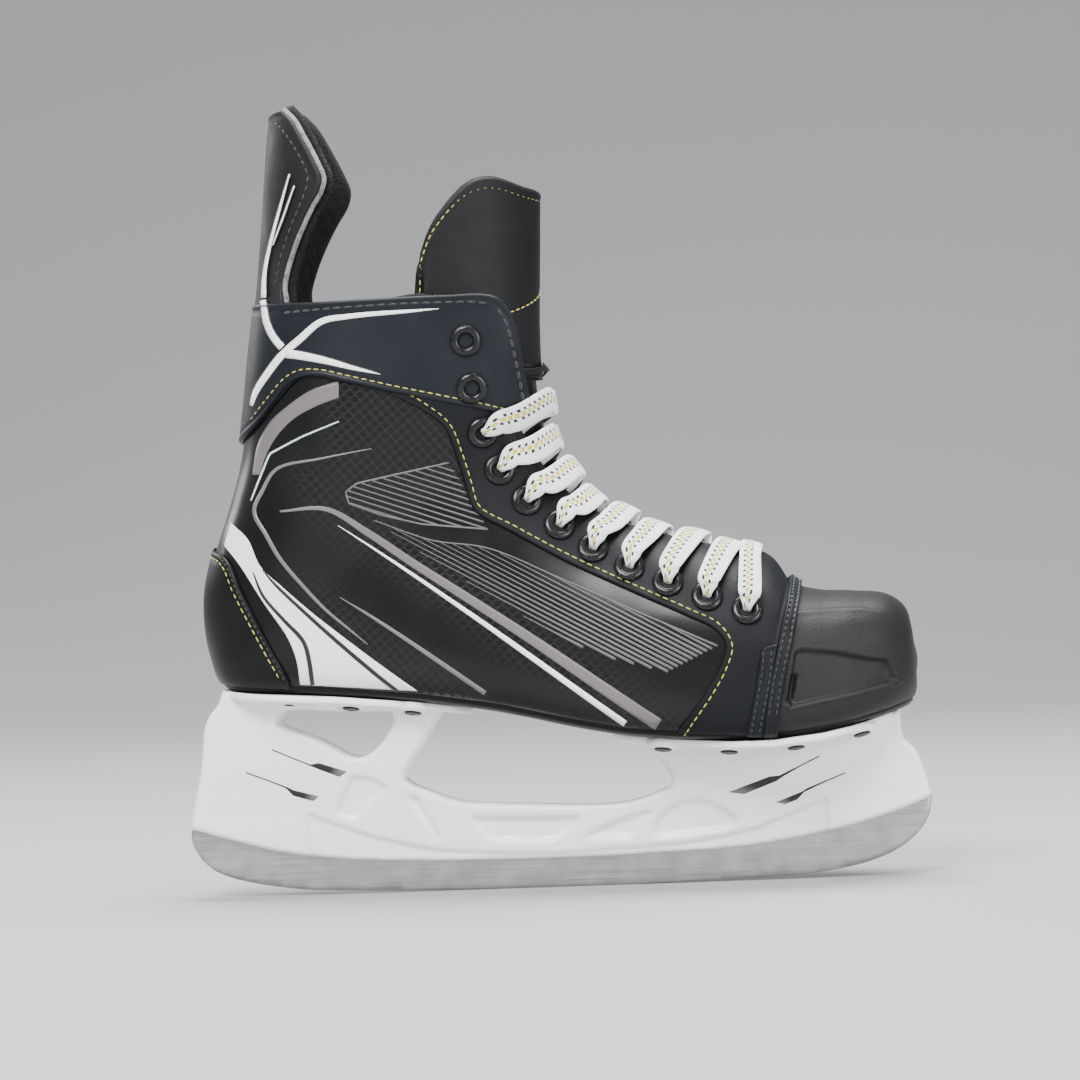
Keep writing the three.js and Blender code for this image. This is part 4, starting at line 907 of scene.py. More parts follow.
def at_edge(angle, shift):
    """The station where the last passes the toe cap's edge, moved by shift, at each angle."""
    line = np.array(TOE_CAP_EDGE)
    low, high = np.full(angle.shape, 4.0), np.full(angle.shape, 9.5)
    for _ in range(30):
        s = (low + high) / 2
        p = last_point(s, angle)
        ahead = p[..., 0] > np.interp(p[..., 2], line[:, 1], line[:, 0]) + shift
        low, high = np.where(ahead, s, low), np.where(ahead, high, s)
    return low


def build_toe():
    angle = np.linspace(-math.pi, math.pi, 300)
    angle[[0, -1]] = -math.pi, math.pi
    rear = at_edge(angle, -2.0)
    t = np.r_[np.linspace(0, 0.3, 20), np.linspace(0.31, 1, 84)]
    s = rear * t[:, None]
    spread = np.broadcast_to(angle, s.shape)
    flat = last_point(s, spread)
    side_view = flat[..., [0, 2]]
    recess = np.array(
        [[97, 91.5], [99.5, 92.5], [112, 91], [125, 88], [132, 87], [133.4, 85.5], [136.5, 78.5],
            [129, 77], [117, 74.5], [105, 72.5], [94.5, 70.5], [94.2, 76]]
    )
    depth, _ = inset_from(side_view, recess)
    ledge = np.array([[97, 106.2], [110, 106.6], [124, 106.4], [132, 104.5]])
    away = side_view[..., 1] - np.interp(side_view[..., 0], ledge[:, 0], ledge[:, 1])
    on_ledge = np.clip((134 - side_view[..., 0]) / 10, 0, 1)
    sunk = np.clip((depth + 0.4) / 1.3, 0, 1)
    sunk = sunk * np.clip((137 - side_view[..., 0]) / 4, 0, 1)
    on_cheek = np.abs(flat[..., 1]) > 12
    offset = 0.8 - 2.1 * sunk * sunk * (3 - 2 * sunk) * on_cheek
    lower_rim = np.exp(-(((depth + 0.9) / 0.7) ** 2)) * (side_view[..., 1] < 82) * on_cheek
    ledge_rim = np.exp(-(away**2)) - np.clip(away / 1.2, 0, 1)
    offset = offset + 0.5 * lower_rim + 0.35 * ledge_rim * on_ledge
    slot_away, _ = inset_from(side_view, np.array([[92.6, 72], [95.6, 72], [98, 82.5], [95.2, 83]]))
    offset = offset - 2.0 * np.clip((slot_away + 0.4) / 1.2, 0, 1) * on_cheek
    places = skin(s, spread, offset * np.clip(s / 1.5, 0.25, 1))
    tip = places[0].mean(0)
    close = np.linspace(0.12, 1, 7)[:-1, None, None]
    front = tip + (places[0] - tip) * close + np.array([0.9, 0, 0]) * (1 - close**2)
    places = np.vstack([front, places])
    places = np.vstack([places, skin(s[-1], angle, -2.6)[None]])
    places[:, -1] = places[:, 0]
    keep = places[..., 2] < sole_at(places[..., 0]) + 2.4
    places[..., 2] = np.where(keep, sole_at(places[..., 0]) + 2.4, places[..., 2])
    bm = bmesh.new()
    made = add_grid(bm, places)
    bmesh.ops.remove_doubles(bm, verts=made, dist=2e-6)
    ends = [e for e in bm.edges if e.is_boundary and e.verts[0].co.x > 0.13]
    bmesh.ops.holes_fill(bm, edges=ends, sides=0)
    bmesh.ops.recalc_face_normals(bm, faces=bm.faces)
    piece("toe_cap_shell", bm, FINISH["cap"], replaces=["toe_cap"])


def build_binding():
    lowest = float(locate(84, sole_at(84) + 3.0)[1])
    angle = np.linspace(lowest, 2 * math.pi - lowest, 420)
    rear, front = at_edge(angle, -4.6), at_edge(angle, 1.4)
    places, normals, _ = panel(
        np.stack([rear, angle], -1), np.stack([front, angle], -1),
        sewn(top=2.8, under=-0.4, seam=1.7, puff=0.25), 1.2,
        (0, 0, 1, 1),
    )
    bm = bmesh.new()
    add_grid(bm, places, normals)
    piece("toe_binding_strap", bm, FINISH["binding"], wall=1.4, replaces=["toe_binding"])
    bm = bmesh.new()
    for name, side in SIDES.items():
        rear = edge([[84.4, 93.6], [82.6, 86], [80.2, 74], [77, 61.4]], side)
        front = edge([[90.6, 95], [89.2, 88], [86.6, 76], [83.6, 61]], side)
        places, normals, _ = panel(rear, front, sewn(top=2.7, under=0.8, seam=1.6), 1.2, (1, 0, 1, 1))
        add_grid(bm, places, normals)
    piece("vamp_straps", bm, FINISH["binding"], wall=1.2)


def build_lining():
    bottom = wrapped(above_sole(-127, 84, 9.5), smooth=False)
    collar = wrapped([
        [-110, 236.4], [-84, 235.2], [-60, 235.5], [-38, 235.4], [-35, 200], [-32, 176], [-22, 158],
        [-12, 146],
        [13, 125.5], [41.5, 112], [71, 100.5], [84, 97],
    ])

    def height(inset, places):
        ankle = np.exp(-(((places[..., 0] + 62) / 26) ** 2) - ((places[..., 2] - 178) / 20) ** 2)
        roll = np.exp(-(((places[..., 2] - 230) / 6) ** 2)) * (places[..., 0] < -36)
        edge_drop = np.sqrt(np.clip(inset / 3.5, 0, 1))
        return -2.9 - 1.4 * edge_drop - 2.2 * ankle - 1.2 * roll + 0.9 * (1 - edge_drop)

    places, normals, _ = panel(bottom, collar, height, 2.2, (1, 1, 0, 1))
    bm = bmesh.new()
    add_grid(bm, places, normals)
    lining = piece(
        "boot_lining", bm, FINISH["lining"], wall=-2.2,
        replaces=["liner_lateral", "liner_medial"]
    )


def sole_rings(profile, x_low, x_high, count=150):
    """Rings of a layer round the sole: profile holds (height over the sole line, offset from the last)."""
    turn = np.linspace(0, math.pi, count)
    x = (x_low + x_high) / 2 - (x_high - x_low) / 2 * np.cos(turn)
    rings = []
    for up, offset in profile:
        line = np.stack([x, sole_at(x) + up], -1)
        rings.append([on_side(line, side, offset)[0] for side in (-1, 1)])
    loop = [ring[1] for ring in rings]
    other = [ring[0] for ring in reversed(rings)]
    top, low = rings[-1], rings[0]
    bridge = [top[1] + (top[0] - top[1]) * k for k in (0.25, 0.5, 0.75)]
    under = [low[0] + (low[1] - low[0]) * k for k in (0.25, 0.5, 0.75)]
    return np.stack([*loop, *bridge, *other, *under, loop[0]], 1)


def build_sole():
    bm = bmesh.new()
    profile = [
        (0.0, -0.8), (0.05, 0.1), (0.5, 0.9), (1.2, 1.25), (2.0, 1.25), (2.6, 0.9), (3.0, 0.3), (3.3, -0.6)
    ]
    add_tube(bm, sole_rings(profile, -131.6, 142.2))
    piece("outsole_plate", bm, FINISH["outsole"], replaces=["outsole"])
    bm = bmesh.new()
    profile = [(7.9, -3.6), (8.2, -3.2), (9.0, -3.1), (11.0, -3.2), (11.5, -3.8), (11.6, -6)]
    add_tube(bm, sole_rings(profile, -131, 139, 90))
    insole = piece("footbed_pad", bm, FINISH["footbed"], replaces=["footbed"])


# ---------------------------------------------------------------- tongue
TONGUE_FRONT = np.array([
    [0.2, 196, 29.5, 30], [0.2, 200, 29.5, 31], [-0.4, 212, 31, 40], [-0.3, 226, 32.5, 50],
    [1, 256, 33.5, 60], [2.4, 290, 34.5, 60],
])  # front x, z, half width, sag
TONGUE_RIM = np.array([
    [0, 278.4], [5, 279.4], [11.4, 281.8], [16, 283.1], [19.9, 283.2], [24, 282.2], [28.4, 279.6],
    [33.9, 274],
    [39.8, 266], [44.2, 256], [46, 247], [46.8, 236],
])  # distance behind the front, z


def build_tongue():
    """One padded tongue: it dips under the eyelets, fills the throat and folds forward at the top."""
    share = np.linspace(-1, 1, 61)
    share = np.sign(share) * np.abs(share) ** 0.9
    stations = np.linspace(7.7, 17.0, 48)
    s = stations[:, None] + 0 * share
    open_half = throat_half(s)
    y = share * np.minimum(open_half + 8, 30)
    dip = np.clip((np.abs(y) - open_half * 0.4) / (open_half * 0.45), 0, 1)
    angle = instep_angle(s, y)
    lower = skin(s, angle, -3.2 - 5.8 * dip)
    depth_at = np.abs(share) ** 1.5 * TONGUE_RIM[-1, 0]
    z_top = np.interp(depth_at, TONGUE_RIM[:, 0], TONGUE_RIM[:, 1])
    level = np.r_[0, 0.012, 0.03, np.linspace(0.06, 0.94, 40), 0.97, 0.988, 1][:, None]
    z = 203 + (z_top - 203) * level
    x, half, sag = (np.interp(z, TONGUE_FRONT[:, 1], TONGUE_FRONT[:, k]) for k in (0, 2, 3))
    turn = np.arccos(np.clip(1 - depth_at * np.clip((z - 186) / 50, 0.3, 1) / sag, -1, 1))
    upper = np.stack([x - sag * (1 - np.cos(turn)), np.sign(share) * half * np.sin(turn), z], -1)
    join = np.linspace(0, 1, 10)[1:-1, None, None]
    smooth_join = join * join * (3 - 2 * join)
    middle = lower[-1] + (upper[0] - lower[-1]) * smooth_join
    middle[..., 2] = lower[-1][..., 2] + (upper[0][..., 2] - lower[-1][..., 2]) * join[..., 0]
    places = np.vstack([lower, middle, upper])
    outward = np.cross(np.gradient(places, axis=1), np.gradient(places, axis=0))
    outward = unit(outward) * np.sign(outward[..., :1].mean() or 1)
    rim = np.minimum(run_along(places, 1), run_along(places, 1)[:, -1:] - run_along(places, 1))
    top_rim = run_along(places, 0)[-1:] - run_along(places, 0)
    inset = np.minimum(rim, top_rim)
    drop = 1 - np.sqrt(np.clip(1 - (1 - np.clip(inset / 2.6, 0, 1)) ** 2, 0, 1))
    groove = np.exp(-(((inset - 3.6) / 0.6) ** 2)) * (places[..., 2] > 225)
    swell = 0.35 * np.exp(-(((inset - 1.9) / 1.0) ** 2))
    vee = np.abs(places[..., 2] - (237.5 - np.abs(places[..., 1]) * 0.42))
    groove = groove + np.exp(-((vee / 0.8) ** 2)) * (places[..., 0] > -12) * (places[..., 2] > 222)
    moved = places + outward * (0.6 - 1.8 * drop - 0.45 * np.clip(groove, 0, 1) + swell)[..., None]
    bm = bmesh.new()
    add_grid(bm, moved, outward)
    tongue = piece(
        "tongue", bm, FINISH["tongue"], None, ["tongue_lower", "tongue_upper"], wall=5.2
    )
    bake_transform(tongue, "boot", "tongue_top", start=(0, 0, 0.190), end=(0, 0, 0.214))

    bm = bmesh.new()
    path, normals = seam_path(places, outward, inset, 3.6)
    keep = path[:, 2] > 236
    add_stitches(bm, path[keep], normals[keep], pitch=3.1, length=2.3, width=0.6)
    for side in (-1, 1):
        y = np.linspace(0.5, 27, 60)
        z = 237.5 - y * 0.42
        x, half, sag = (np.interp(z, TONGUE_FRONT[:, 1], TONGUE_FRONT[:, k]) for k in (0, 2, 3))
        turn = np.arcsin(y / half)
        line = np.stack([x - sag * (1 - np.cos(turn)) + 0.5, side * y, z], -1)
        face = unit(np.stack([np.cos(turn), side * np.sin(turn), 0 * z], -1))
        add_stitches(bm, line, face, pitch=3.1, length=2.3, width=0.6)
    piece("tongue_stitching", bm, FINISH["yellow_thread"], "tongue_top")


def seam_path(places, outward, inset, distance):
    """The line on a sheet at a distance in from its side rims and its last row."""
    rows, cols = inset.shape
    left, right = [], []
    for i in range(rows):
        for found, order in ((left, range(cols // 2)), (right, range(cols - 1, cols // 2, -1))):
            for j in order:
                if inset[i, j] >= distance:
                    found.append((i, j))
                    break
    top = []
    for j in range(cols):
        for i in range(rows - 1, 0, -1):
            if inset[i, j] >= distance:
                top.append((i, j))
                break
    first = [k for k in left if places[k][2] < places[top[4]][2]]
    last = [k for k in right[::-1] if places[k][2] < places[top[-5]][2]]
    keys = first + [k for k in top if abs(places[k][1]) < abs(places[first[-1]][1])] + last
    line = np.array([places[k] for k in keys])
    face = np.array([outward[k] for k in keys])
    keep = np.r_[True, np.linalg.norm(np.diff(line, axis=0), axis=1) > 0.4]
    both = flowing(np.hstack([line[keep], face[keep] * 0.01])[::2], 400)
    return both[:, :3] + unit(both[:, 3:]) * 0.35, unit(both[:, 3:])


# ---------------------------------------------------------------- eyelets
def eyelet_spots():
    """The 11 eyelet places of a side in side view, from the toe up."""
    line = catmull(
        [[79, 108], [49, 119.5], [21, 133], [-5.5, 153.8], [-15.5, 166], [-22, 182]], np.linspace(0, 5, 201)
    )
    return np.vstack([even(line, 9), [[-25.2, 199.5], [-26.5, 217.9]]])


SPOTS = eyelet_spots()


def spun(profile, steps=36):
    """A solid of revolution about Z from a closed [radius, height] profile in mm."""
    bm = bmesh.new()
    ring = [bm.verts.new((r * MM, 0, h * MM)) for r, h in profile]
    edges = [bm.edges.new((a, b)) for a, b in zip(ring, ring[1:] + ring[:1])]
    bmesh.ops.spin(
        bm, geom=ring + edges, cent=(0, 0, 0), axis=(0, 0, 1), angle=2 * math.pi, steps=steps,
        use_merge=True
    )
    bmesh.ops.remove_doubles(bm, verts=bm.verts, dist=1e-6)
    bmesh.ops.recalc_face_normals(bm, faces=bm.faces)
    return bm


def build_eyelets():
    for name, side in SIDES.items():
        places, normals = on_side(SPOTS, side, PANEL)
        for i, (place, normal) in enumerate(zip(places, normals)):
            lift = 0.5 if i > 8 else 0
            profile = [
                (2.5, -5.6), (3.2, -5.6), (3.4, 0.2), (5.9, 0.2), (6.15, 0.5), (6.15, 0.9), (5.8, 1.35),
                (5.1, 1.75),
                (4.3, 1.9), (3.6, 1.75), (3.05, 1.3), (2.75, 0.7), (2.55, -0.4),
            ]
            bm = spun(profile)
            turn = Vector(normal).to_track_quat("Z", "Y").to_matrix().to_4x4()
            move = Matrix.Translation(Vector(place + normal * lift) * MM)
            bm.transform(move @ turn)
            ring = piece(f"eyelet_ring_{name}_{i + 1}", bm, FINISH["eyelet"])
            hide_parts(f"eyelet_{name}_{i + 1}")


# ---------------------------------------------------------------- lace
EYELET = {"rim": 3.7, "inside": -5.5}


def through_eyelet(k, side, turn):
    """Nodes of the lace where it dives from outside into an eyelet."""
    (s,), (angle,) = (v[None] if v.ndim == 0 else v for v in locate(*SPOTS[k]))
    place, normal = last_point(s, side * angle), last_normal(s, side * angle)
    to_throat = last_point(s, side * min(angle + 0.25, math.pi)) - place
    to_throat = unit(to_throat - normal * (to_throat @ normal))
    across = np.cross(normal, to_throat) * -turn

    def at(out, up, width, thick=1.5):
        return {
            "place": place + normal * out + to_throat * up, "across": across, "width": width, "thick": thick
        }

    rim, inside = EYELET["rim"], EYELET["inside"]
    return [
        at(rim + 1.6, 7.4, 9.2, 1.7), at(rim + 1.5, 3.6, 7.0, 2.1), at(rim + 0.5, 1.0, 4.2, 2.4),
        at(rim - 2.2, 0.5, 3.2, 2.2), at(inside - 0.5, 0.7, 3.0, 1.8), at(inside - 1.6, 3.3, 4.4),
        at(inside - 1.4, 7, 5.4),
    ]


def over_throat(s, share, offset, turn, width=9.4):
    half = throat_half(s)
    angle = instep_angle(s, share * half)
    return {
        "place": skin(s, angle, offset), "normal": last_normal(s, angle), "turn": turn, "width": width,
        "thick": 1.6,
    }


def crossing(start, end, side, high, turn):
    """Nodes from the inside of one eyelet over the throat to the next eyelet of the other side."""
    s0, s1 = (float(locate(*SPOTS[k])[0]) for k in (start, end))
    reach = abs(on_side(SPOTS[end], side)[0][1])
    half = float(throat_half(s1))
    aside = (0.6 * half + 0.4 * reach) / half

    def at(share):
        return s0 + (s1 - s0) * share

    return [
        over_throat(at(0.26), -side * 0.98, -5.6, turn, 6.0),
        over_throat(at(0.38), -side * 0.6, -1.2, turn, 8.0),
        over_throat(at(0.5), 0.0, 2.9 if high else 0.8, turn),
        over_throat(at(0.62), side * 0.5, 3.4 if high else 2.6, turn, 10.4),
        over_throat(at(0.72), side * 0.98, PANEL + 2.0, turn, 10.8),
        over_throat(at(0.84), side * aside, PANEL + 2.3, turn, 10.4),
    ]


def lace_nodes():
    def zigzag(start):
        side, turn = start, start
        nodes = through_eyelet(0, side, turn)
        for k in range(1, 9):
            side, turn = -side, -turn
            nodes += crossing(k - 1, k, side, start * side > 0, turn) + through_eyelet(k, side, turn)
        return nodes

    s0 = float(locate(*SPOTS[0])[0]) + 0.12
    bar = [
        over_throat(s0, share, PANEL + 1.9, 1, 8.6) for share in (-1.7, -1.4, -0.98, -0.5, 0, 0.5, 0.98,
            1.4, 1.7)
    ]
    first = zigzag(-1)[::-1]
    for node in first:
        if "turn" in node:
            node["turn"] = -node["turn"]
    return first + bar + zigzag(1)


def add_band(bm, nodes, steps=7):
    """A soft flat band through nodes, with its length and width kept on it for the weave."""
    place = np.array([n["place"] for n in nodes])
    run = unit(
        np.array([place[min(i + 1, len(place) - 1)] - place[max(i - 1, 0)] for i in range(len(place))])
    )
    across = np.array([
        n["across"] if "across" in n else np.cross(n["normal"], r) * n["turn"] for n, r in zip(nodes, run)
    ])
    across = unit(across - run * (across * run).sum(1)[:, None])
    rows = np.hstack([place, across, [[n["width"], n["thick"]] for n in nodes]])
    fine = catmull(rows, np.linspace(0, len(rows) - 1, (len(rows) - 1) * steps + 1))
    place = fine[:, :3]
    run = unit(np.gradient(place, axis=0))
    across = unit(fine[:, 3:6] - run * (fine[:, 3:6] * run).sum(1)[:, None])
    up = np.cross(run, across)
    width, thick = fine[:, 6], fine[:, 7]
    length = np.r_[0, np.cumsum(np.linalg.norm(np.diff(place, axis=0), axis=1))]
    turn = np.linspace(0, 2 * math.pi, 19)
    turn[-1] = 0
    wide = np.sign(np.cos(turn)) * np.abs(np.cos(turn)) ** 0.7
    high = np.sign(np.sin(turn)) * np.abs(np.sin(turn)) ** 0.8
    cup = 0.35 * (1 - wide**2) * np.clip(width / 9, 0, 1)[:, None]
    rings = place[:, None] + across[:, None] * (wide[None, :, None] * width[:, None, None] / 2)
    rings += up[:, None] * ((high[None] * thick[:, None] / 2) + cup * 0.4)[..., None]
    layers = {"along": length[:, None] + 0 * wide, "across": wide[None] / 2 + 0 * length[:, None]}
    add_tube(bm, rings, layers)
    return place, length


TAIL_ROUTES = {
    "lateral": [
        [-32, -25, 178], [-35, -25.5, 168], [-38, -26, 154], [-38, -26, 138], [-35, -26, 120],
        [-30, -25.5, 104], [-22, -25, 92.5], [-10, -25, 85.2], [6, -25, 78.7], [22, -24.5, 75.4],
        [38, -24, 73.1], [54, -23, 71.7], [66, -21, 71], [76, -16, 70.7], [82, -8, 70.8], [83, 1, 70.8],
        [79, 9, 70.7], [70, 14, 70.8], [58, 15, 71.5], [44, 14, 72.5], [30, 12, 73.8], [16, 11, 76.7],
        [3, 12, 79.4], [-12, 11, 83], [-24, 5, 85.5], [-26, -6, 85.9], [-17, -13, 84.2], [-3, -14, 80.8],
        [12, -13, 77.5],
    ],
    "medial": [
        [-32, 25, 178], [-36, 25.5, 168], [-40, 26, 154], [-44, 26, 138], [-47, 25, 120], [-53, 24, 105],
        [-61, 23, 94.6], [-71, 22, 91.9], [-82, 21, 93], [-93, 19, 93.8], [-103, 14, 94.5], [-110, 6, 95],
        [-112, -3, 95.1], [-108, -12, 94.8], [-99, -17, 94.2], [-88, -18, 93.5], [-76, -17, 92.4],
        [-62, -16, 90.9], [-50, -12, 89.7], [-44, -4, 88.7], [-46, 5, 89.1], [-55, 11, 90.2],
        [-67, 13, 91.4], [-80, 12, 92.8], [-92, 8, 93.8], [-98, 1, 94.2], [-95, -6, 94], [-86, -10, 93.4],
        [-74, -9, 92.2], [-64, -7, 91.1],
    ],
}
AGLET = 22


def build_tails():
    """The two free ends of the lace, tucked into the boot, each with its plastic tip."""
    for name, route in TAIL_ROUTES.items():
        line = flowing(route, 150)
        run = np.r_[0, np.cumsum(np.linalg.norm(np.diff(line, axis=0), axis=1))]
        side = math.copysign(1, route[0][1])
        on_foot = np.clip((run - 60) / 50, 0, 1)
        normal = unit(np.stack([0 * run, -side * (1 - on_foot), on_foot], -1))
        cloth = run < run[-1] - AGLET + 1
        nodes = [
            {"place": p, "normal": n, "turn": 1, "width": 7.0, "thick": 1.4} for p,
            n in zip(line[cloth], normal[cloth])
        ]
        for k, width in ((-1, 3.4), (-2, 4.4), (-3, 5.8)):
            nodes[k]["width"] = width
        bm = bmesh.new()
        add_band(bm, nodes, 2)
        tail = piece(f"lace_end_{name}", bm, FINISH["lace"], replaces=[f"lace_tail_{name}"])
        bm = bmesh.new()
        add_cord(bm, line[~cloth | (run > run[-1] - AGLET)], 1.35)
        tip = piece(f"lace_tip_{name}", bm, FINISH["aglet"])


def build_lace():
    bm = bmesh.new()
    _, length = add_band(bm, lace_nodes())
    piece("laced_lace", bm, FINISH["lace"], replaces=["lace"])
    return length[-1]


# ---------------------------------------------------------------- holder and runner
STEEL_TOP = [
    [-147.2, 28.4], [-131.2, 23.3], [-111, 17.8], [-91, 14.6], [-60, 12.5], [-29.5, 11.8], [8, 11.7],
    [34, 12.2],
    [75.8, 14], [97, 16.9], [118.2, 21.3], [139.2, 27.8], [149.2, 31.8],
]
HEEL_OF_HOLDER = [
    [-147.2, 28.4], [-145.9, 34.2], [-144, 42], [-141.6, 51], [-140.2, 60], [-138.8, 69], [-136.4, 73.9],
    [-133, 78],
    [-131, 83.6],
]
TOE_OF_HOLDER = [
    [149.2, 31.8], [147.9, 37], [146.4, 42], [144.6, 47.5], [142.6, 51], [139, 55], [138, 58], [137.4, 66.4]
]
BIG_OPENING = [
    [33, 60.6], [35, 60], [38.6, 55.4], [42, 50], [45.4, 44.4], [46.2, 41.2], [45, 38.6], [41, 37],
    [34, 34.4], [25, 32.8],
    [8, 32.7], [-7, 33.4], [-31, 34.8], [-40, 36], [-50, 39.8], [-57, 42.8], [-60, 45.4], [-59.2, 49],
    [-53, 58.4],
    [-46.4, 69.6], [-42, 75.6],
]
REAR_OPENING = [
    [-110.6, 70.6], [-109.6, 73], [-107.4, 74.3], [-101.5, 75], [-87.6, 74], [-70, 73.2], [-63.4, 72.6],
    [-63, 70.6],
    [-64.8, 65.8], [-68.4, 60.4], [-72.6, 56.8], [-77.6, 54.8], [-82.6, 55.6], [-88.2, 58.8], [-94.8, 62.4],
    [-107.4, 67.4], [-110, 68.8],
]
TRUSS = [
    ([[-34.6, 29.7], [1.2, 28.5], [9.1, 28.0], [0.9, 19.9], [-15.1, 19.0], [-29.0, 21.1]], 2.2),
    ([[10.0, 19.6], [12.9, 21.9], [36.3, 29.7], [38.3, 29.3], [34.1, 24.6], [29.5, 19.6], [16.8, 19.3]],
        2.2),
    ([[38.7, 18.5], [37.6, 21.7], [44.3, 30.6], [57.2, 33.7], [70.8, 26.4], [72.0, 25.2], [69.5, 22.1],
        [56.7, 20.2]], 2.0),
    ([[-81.6, 47.9], [-72.9, 46.7], [-67.1, 42.5], [-67.5, 41.0], [-77.4, 33.0], [-79.9, 30.3],
        [-87.8, 32.2]], 1.7),
    ([[-60.2, 39.0], [-55.0, 38.0], [-53.9, 34.8], [-47.3, 21.0], [-48.5, 21.0], [-50.7, 25.1],
        [-59.0, 37.4]], 2.4),
]
LEDGE = np.array([
    [-110, 38], [-97.1, 32.1], [-86.5, 27.7], [-74.7, 23.2], [-58.9, 19.1], [-47.1, 16.6], [-23.2, 14.7],
    [0.6, 14.2],
    [24.6, 15.0], [48.5, 16.1], [64.6, 18.3], [79.0, 21.3], [92.8, 26.4], [104.9, 31.1], [118, 37],
])
# x, distance from the middle
RIVETS = [[-104, 17.6], [-79, 21.5], [-54.5, 21.5], [44, 27], [70, 32], [96, 31], [121.8, 22]]
FLANGES = [
    [[-132, 6], [-129, 15.5], [-122, 24.8], [-107, 31], [-82.5, 30], [-53, 25], [-37, 20], [-33, 12]],
    [[24, 17], [31, 24], [58, 35], [83, 41], [106, 38], [124, 27], [134.6, 14], [138, 5]],
]


def holder_outline():
    steel, toe, opening, heel = (flowing(line, n) for line, n in (
        (STEEL_TOP, 120), (TOE_OF_HOLDER, 40), (BIG_OPENING, 120), (HEEL_OF_HOLDER, 40),
    ))
    front = np.array([[x, sole_at(x) - 0.4] for x in np.linspace(136.5, 34, 50)])
    rear = np.array([[x, sole_at(x) - 0.4] for x in np.linspace(-43, -130.5, 40)])
    return np.vstack([steel[:-1], toe[:-1], front, opening, rear, heel[::-1][1:-1]])


def holder_width(x, z):
    """Half the thickness of the holder before its edges are rounded."""
    out = np.interp(z, [8, 16, 34, 66, 90], [5.6, 5.6, 8.2, 15.5, 18.5])
    below = sole_at(x) - z
    for flange in FLANGES:
        plan = np.array(flange)
        reach = np.interp(x, plan[:, 0], plan[:, 1], left=0, right=0)
        out = out + np.maximum(reach - 3 - out, 0) * np.exp(-np.maximum(below - 2.6, 0) / 1.7)
    lip = z - np.interp(x, LEDGE[:, 0], LEDGE[:, 1])
    step = 1.5 * np.clip(0.5 - lip / 1.0, 0, 1) * (x > -100) * (x < 108)
    return out - step


def moulding(outline, holes, width, round_off, cell):
    """A moulded piece with that side outline, width(x, z) thick to each side and with rounded edges."""
    low, high = outline.min(0) - cell, outline.max(0) + cell
    columns, rows = (int(n) for n in (high - low) / cell)
    bm = bmesh.new()
    bmesh.ops.create_grid(bm, x_segments=columns, y_segments=rows, size=1)
    verts = list(bm.verts)
    flat = np.array([v.co[:2] for v in verts])
    flat = low + (flat + 1) / 2 * (high - low)
    loops = [outline, *holes]
    depth, nearest = inset_from(flat, loops[0])
    for hole in loops[1:]:
        hole_depth, hole_nearest = inset_from(flat, hole)
        closer = -hole_depth < depth
        depth, nearest = np.where(closer, -hole_depth, depth), np.where(
            closer[:, None], hole_nearest, nearest
        )
    bm.verts.index_update()
    doomed = [f for f in bm.faces if np.mean([depth[v.index] for v in f.verts]) < 0]
    spots = {v: (flat[i], nearest[i], depth[i] < 0) for i, v in enumerate(verts)}
    bmesh.ops.delete(bm, geom=doomed, context="FACES")
    for v in bm.verts:
        here, rim_here, outside = spots[v]
        x, z = rim_here if outside or v.is_boundary else here
        v.co = (x * MM, 0, z * MM)
    far = {
        v for v in bmesh.ops.extrude_face_region(bm, geom=bm.faces[:])["geom"] if isinstance(v,
            bmesh.types.BMVert)
    }
    x, z = (np.array([v.co[k] for v in bm.verts]) / MM for k in (0, 2))
    depth, _ = inset_from(np.stack([x, z], -1), loops[0])
    for hole in loops[1:]:
        depth = np.minimum(depth, -inset_from(np.stack([x, z], -1), hole)[0])
    fall = round_off - np.sqrt(
        np.maximum(round_off**2 - (round_off - np.clip(depth, 0, round_off)) ** 2, 0)
    )
    y = np.maximum(width(x, z) - fall, 0.2)
    for i, v in enumerate(bm.verts):
        v.co.y = (y[i] if v in far else -y[i]) * MM
    bmesh.ops.recalc_face_normals(bm, faces=bm.faces)
    return bm


def build_holder():
    pockets = [(flowing([*p, p[0]], 60)[:-1], deep) for p, deep in TRUSS]

    def width(x, z):
        out = holder_width(x, z)
        for loop, deep in pockets:
            inset = inset_from(np.stack([x, z], -1), loop)[0]
            out = out - deep * np.clip((inset + 0.6) / 2.0, 0, 1) ** 1.4
        return out

    bm = moulding(holder_outline(), [flowing([*REAR_OPENING, REAR_OPENING[0]], 110)[:-1]], width, 1.6, 1.0)
    for plan in FLANGES:
        add_flange(bm, np.array(plan))
    for x, y in RIVETS:
        for side in (-1, 1):
            bmesh.ops.create_cone(
                bm, cap_ends=True, segments=40, radius1=5.8 * MM, radius2=6.8 * MM, depth=2.8 * MM,
                matrix=rivet_frame(x, y, side),
            )
    piece("blade_holder", bm, FINISH["holder"], replaces=["holder"])


def add_flange(bm, plan):
    """The plate under the sole; the pads round the rivets are cones that build_holder adds."""
    line = flowing(plan, 70)
    x, reach = line[:, 0], line[:, 1]
    rings = []
    for up, back in ((-0.35, 1.0), (-0.35, 0.35), (-0.7, 0.0), (-2.4, 0.0), (-3.1, 0.5), (-3.3, 1.4)):
        rings.append((up, np.maximum(reach - back, 1.0)))
    loop = [np.stack([x, w, sole_at(x) + up], -1) for up, w in rings]
    other = [np.stack([x, -w, sole_at(x) + up], -1) for up, w in reversed(rings)]
    add_tube(bm, np.stack([*loop, *other, loop[0]], 1))


